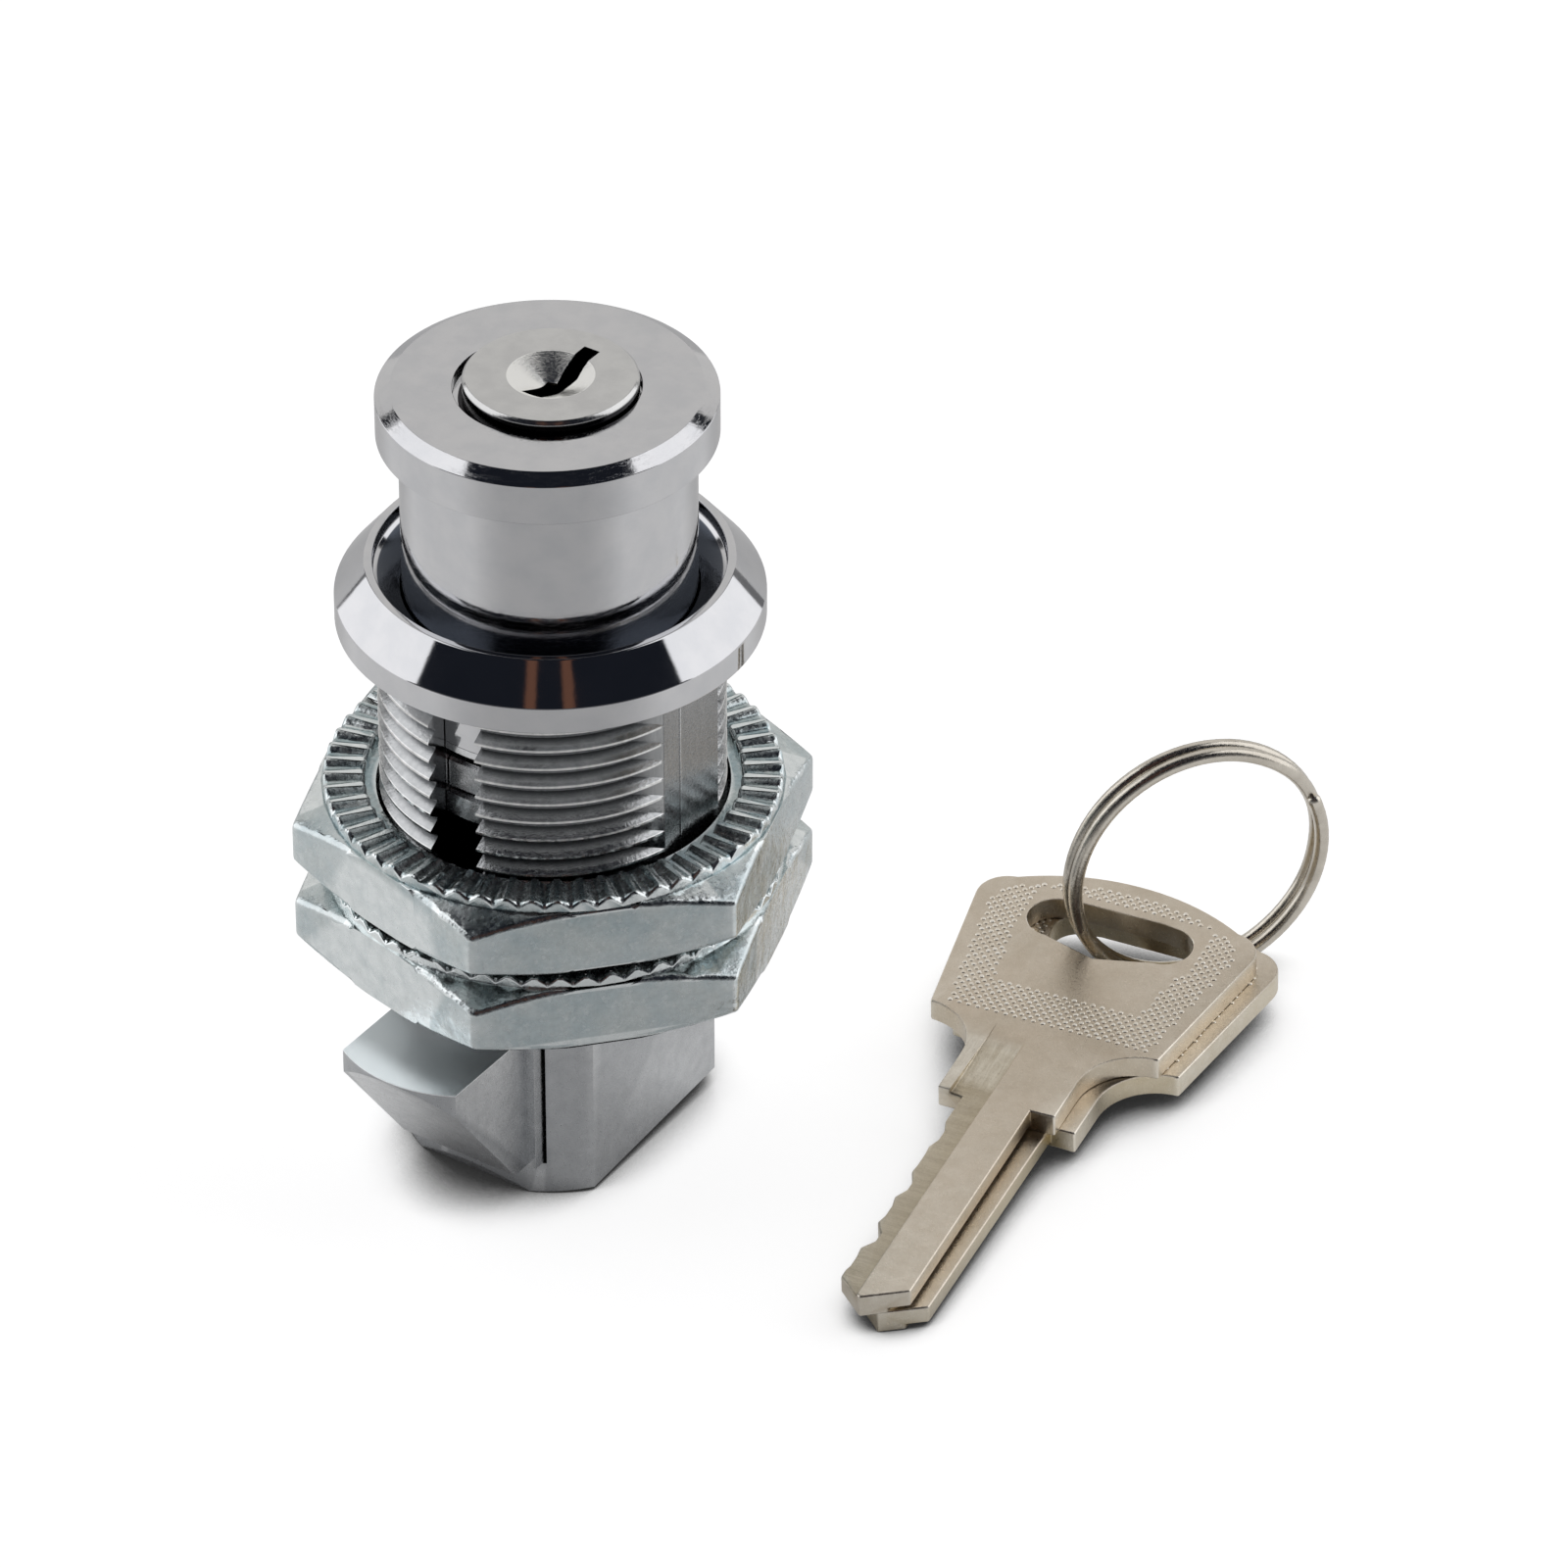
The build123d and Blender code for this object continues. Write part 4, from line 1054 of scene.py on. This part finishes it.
# ---- button ----------------------------------------------------------------
def chromed_button():
    """Wide head and long neck, bored for the key plug."""
    piece = turned("chromed_button", [
        (PLUG_BORE_R, NECK_END_Z), (NECK_R, NECK_END_Z), (NECK_R, HEAD_UNDER_Z),
        (HEAD_R, HEAD_UNDER_Z), (HEAD_R, HEAD_CHAMFER_Z), (HEAD_TOP_R, HEAD_TOP_Z),
        (PLUG_SEAT_R, HEAD_TOP_Z), (PLUG_SEAT_R, PLUG_SEAT_Z), (PLUG_BORE_R, PLUG_SEAT_Z),
    ])
    round_edges(piece, BUTTON_ROUND, 3, 20)
    cut(piece, block(-NECK_SLOT, NECK_SLOT, NECK_R - NECK_SLOT, NECK_R + 1, -12.0, 2.4))
    for side in (-1, 1):
        x, y = side * CARRIER_SCREW_XY[0], side * CARRIER_SCREW_XY[1]
        cut(piece, bar(CARRIER_SCREW_R, (x, y, NECK_END_Z - 1), (x, y, -2.95)))
    return piece


def plug_face():
    """The plug's face: a disc with a bright rim, a countersink and the warded keyway."""
    piece = turned("plug_face", [
        (0.3, PLUG_SPLIT_Z + 0.02), (PLUG_FACE_R, PLUG_SPLIT_Z + 0.02),
        (PLUG_FACE_R, PLUG_FACE_Z - 0.28), (PLUG_FACE_R - 0.28, PLUG_FACE_Z),
        (CONE_R, PLUG_FACE_Z), (0.3, PLUG_FACE_Z - CONE_DEPTH),
    ])
    round_edges(piece, PLUG_FACE_ROUND, 3, 24)
    cut(piece, prism("keyway", KEYWAY, PLUG_SPLIT_Z - 1.0, PLUG_FACE_Z + 1.0))
    across, along = PLUG_FACE_SHIFT
    piece.location = (across * MM, along * MM, 0)
    return piece


# ---- springs, ring, keys -----------------------------------------------------
def wire_springs(name, places, radius, wire, length, turns, along_y=False):
    """A pair of coil springs of round wire."""
    springs = []
    for place in places:
        section = circle_section(radius - wire / 2, wire / 2)
        spring = wound("spring", section, turns, length - wire, 24)
        spring.location = (0, 0, wire / 2 * MM)
        settle(spring)
        if along_y:
            spring.rotation_euler = (radians(-90), 0, 0)
        spring.location = Vector(place) * MM
        settle(spring)
        springs.append(spring)
    return joined(name, springs)


def split_ring():
    """Two turns of round wire lying side by side, crossing over near the ends."""
    sides, steps = 16, 72
    section = circle_section(RING_R, RING_WIRE / 2 - 0.01, sides)
    pitch = RING_WIRE + 0.02
    ring = wound("split_ring", section, 2, 2 * pitch, steps)
    for vertex in ring.data.vertices:
        turn = min(vertex.index // sides, 2 * steps) / steps
        share = min(max((turn - 0.90) / 0.2, 0.0), 1.0)
        level = 0.5 + share * share * (3 - 2 * share)
        vertex.co.z += pitch * MM * (level - turn)
    round_edges(ring, 0.5 * MM, 4, 60)
    ring.rotation_euler = (0, 0, radians(RING_ENDS_AT))
    settle(ring)
    ring.location = (0, 0, -pitch * MM)
    settle(ring)
    ring.rotation_euler = (radians(90), 0, 0)
    settle(ring)
    ring.rotation_euler = (0, 0, radians(90 + KEY_HEADING - RING_YAW))
    ring.location = RING_CENTRE
    settle(ring)
    return ring


def key_matrix(along, across, height, turn=0.0):
    """Where a key lies that is drawn with its length on +X and its face up."""
    heading = Matrix.Translation(Vector((*KEY_TIP_XY, FLOOR_Z / MM)) * MM)
    heading = heading @ Matrix.Rotation(radians(90 + KEY_HEADING), 4, "Z")
    tilt = Matrix.Rotation(radians(-KEY_TILT), 4, "Y")
    shift = Matrix.Translation(Vector((along, -across, height)) * MM)
    return heading @ tilt @ shift @ Matrix.Rotation(radians(turn), 4, "Z")


def bow_half_width(a):
    """Half the bow's width at a distance from the key's datum."""
    if a < BOW_SHOULDER:
        share = (a - BOW_FOOT) / (BOW_SHOULDER - BOW_FOOT)
        return BOW_FOOT_HALF_W + (BOW_SHOULDER_HALF_W - BOW_FOOT_HALF_W) * share
    share = (a - BOW_SHOULDER) / BOW_CORNER
    return BOW_SHOULDER_HALF_W - (BOW_SHOULDER_HALF_W - BOW_CORNER_HALF_W) * share


def bow_crown(b):
    """How far the bow reaches at a distance to the side."""
    return BOW_TOP - BOW_SAG * (b / BOW_CORNER_HALF_W) ** 2


def stipple_points():
    """Places of the raised dots: a band round the bow, clear of its slot."""
    points = []
    row = 0
    a = DOTS_ALONG[0]
    while a < DOTS_ALONG[1]:
        b = DOTS_ACROSS[0] + (row % 2) * DOT_PITCH / 2
        while b < DOTS_ACROSS[1]:
            inset = min(bow_half_width(a) - abs(b), bow_crown(b) - a)
            banded = inset < DOT_BAND or a < DOTTED_TO
            near_slot = (abs(b) < SLOT_CLEAR_HALF_W
                         and SLOT_CLEAR[0] + abs(b) * 0.2 < a < SLOT_CLEAR[1])
            if banded and inset > DOT_INSET and not near_slot:
                points.append((a, b))
            b += DOT_PITCH
        a += DOT_PITCH / 2
        row += 1
    return points


def stipple(name, place, top):
    """The raised dots of one key."""
    deselect()
    bpy.ops.mesh.primitive_uv_sphere_add(segments=8, ring_count=4, radius=DOT_R * MM)
    first = bpy.context.object
    first.scale = (1, 1, DOT_H / DOT_R)
    settle(first)
    dots = []
    for a, b in stipple_points():
        dot = first.copy()
        dot.data = first.data.copy()
        bpy.context.scene.collection.objects.link(dot)
        dot.location = Vector((a, b, top)) * MM
        dots.append(dot)
    bpy.data.objects.remove(first, do_unlink=True)
    piece = joined(name, dots)
    settle(piece)
    piece.matrix_world = place
    settle(piece)
    return piece


# ---- build -----------------------------------------------------------------
bpy.context.scene.view_settings.view_transform = "Standard"
deselect()
add_camera()
add_studio_world()
add_floor()
EFFECTS = {"grain": cast_grain_effect(), "frost": frost_effect(),
           "scratch": scratch_effect(), "wear": edge_wear_effect()}
CHROME = chrome_finish(EFFECTS)
BARREL = barrel_finish(EFFECTS)
ZINC = zinc_finish(EFFECTS)
HOUSING = casting_finish(EFFECTS, "satin_casting")
BOLT = casting_finish(EFFECTS, "bolt_casting", ground_z=BOLT_TOP_Z * MM)
PLUG = plug_finish(EFFECTS)
RING = ring_finish(EFFECTS)
DOTS = dot_finish(EFFECTS)
STEEL = plain_stock_finish(EFFECTS, "bright_steel", (0.52, 0.52, 0.53), (0.40, 0.41, 0.42), 0.28)
WIRE = plain_stock_finish(EFFECTS, "spring_wire", (0.50, 0.50, 0.51), (0.34, 0.35, 0.36), 0.24)
BRASS = plain_stock_finish(EFFECTS, "wafer_brass", (0.72, 0.55, 0.27), (0.55, 0.41, 0.2), 0.3)
CARRIER = casting_finish(EFFECTS, "carrier_casting")

dress(threaded_barrel(), "lock_body", "chrome", BARREL, "lock_barrel", weighted=True)
dress(casting_line(), "lock_body", "cast_zinc", HOUSING)
dress(chromed_button(), "button", "chrome", CHROME, "push_button", weighted=True)
for node in ("front_nut", "rear_nut"):
    nut = cad_copy(node, "serrated_" + node, quartered=True)
    round_hexagon(nut, NUT_CHAMFER_R, NUT_ROUND)
    round_edges(nut, TOOTH_ROUND)
    dress(nut, node, "nut_zinc", ZINC, node, weighted=True)
plug = cad_copy("key_plug", "slotted_plug")
cut(plug, block(-8, 8, -8, 8, PLUG_SPLIT_Z, 24))
round_edges(plug, PLUG_ROUND)
dress(plug, "plug", "plug_nickel", PLUG, "key_plug", weighted=True)
dress(plug_face(), "plug", "plug_nickel", PLUG, weighted=True)
housing = cad_copy("bolt_housing", "cast_housing")
round_edges(housing, HOUSING_ROUND)
dress(housing, "lock_body", "cast_zinc", HOUSING, "bolt_housing", weighted=True)
bolt = cad_copy("latch_bolt", "bevelled_bolt")
round_edges(bolt, BOLT_ROUND, 3)
dress(bolt, "bolt", "cast_zinc", BOLT, "latch_bolt", weighted=True)
for node, body, spot, tint in (("key_upper", "upper_key", UPPER_KEY_AT, 0.15),
                               ("key_lower", "lower_key", LOWER_KEY_AT, 0.5)):
    place = key_matrix(*spot)
    finish = key_finish(EFFECTS, "nickel_" + node, place, MILLED_ABOVE, tint)
    key = cad_copy(node, "cut_" + node, place.to_3x3() @ Vector((0, 0, 1)))
    round_edges(key, KEY_ROUND)
    dress(key, body, "key_nickel", finish, node, weighted=True)
    dress(stipple("stipple_" + node, place, KEY_T), body, "key_nickel", DOTS)
dress(split_ring(), "ring", "ring_nickel", RING, "key_ring")

springs = wire_springs("return_coils", ((-6.3, 0, -29.55), (6.3, 0, -29.55)),
                       radius=2.3, wire=0.8, length=19.9, turns=7)
dress(springs, "lock_body", "spring_steel", WIRE, "return_springs")
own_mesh(springs)
springs = wire_springs("bolt_coils", ((-4.6, -8.95, -37.45), (4.6, -8.95, -37.45)),
                       radius=1.1, wire=0.34, length=18.77, turns=9, along_y=True)
dress(springs, "lock_body", "spring_steel", WIRE, "bolt_springs")
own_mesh(springs)

INNER = {"stop_pin": STEEL, "housing_dowels": STEEL, "button_carrier": CARRIER,
         "carrier_screws": STEEL, "plug_wafers": BRASS, "wafer_springs": WIRE,
         "plug_clip": STEEL, "plug_cam": STEEL, "locking_pawl": STEEL,
         "drive_stem": STEEL, "stem_pin": STEEL}
for node, material in INNER.items():
    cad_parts[node].data.materials.clear()
    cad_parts[node].data.materials.append(material)
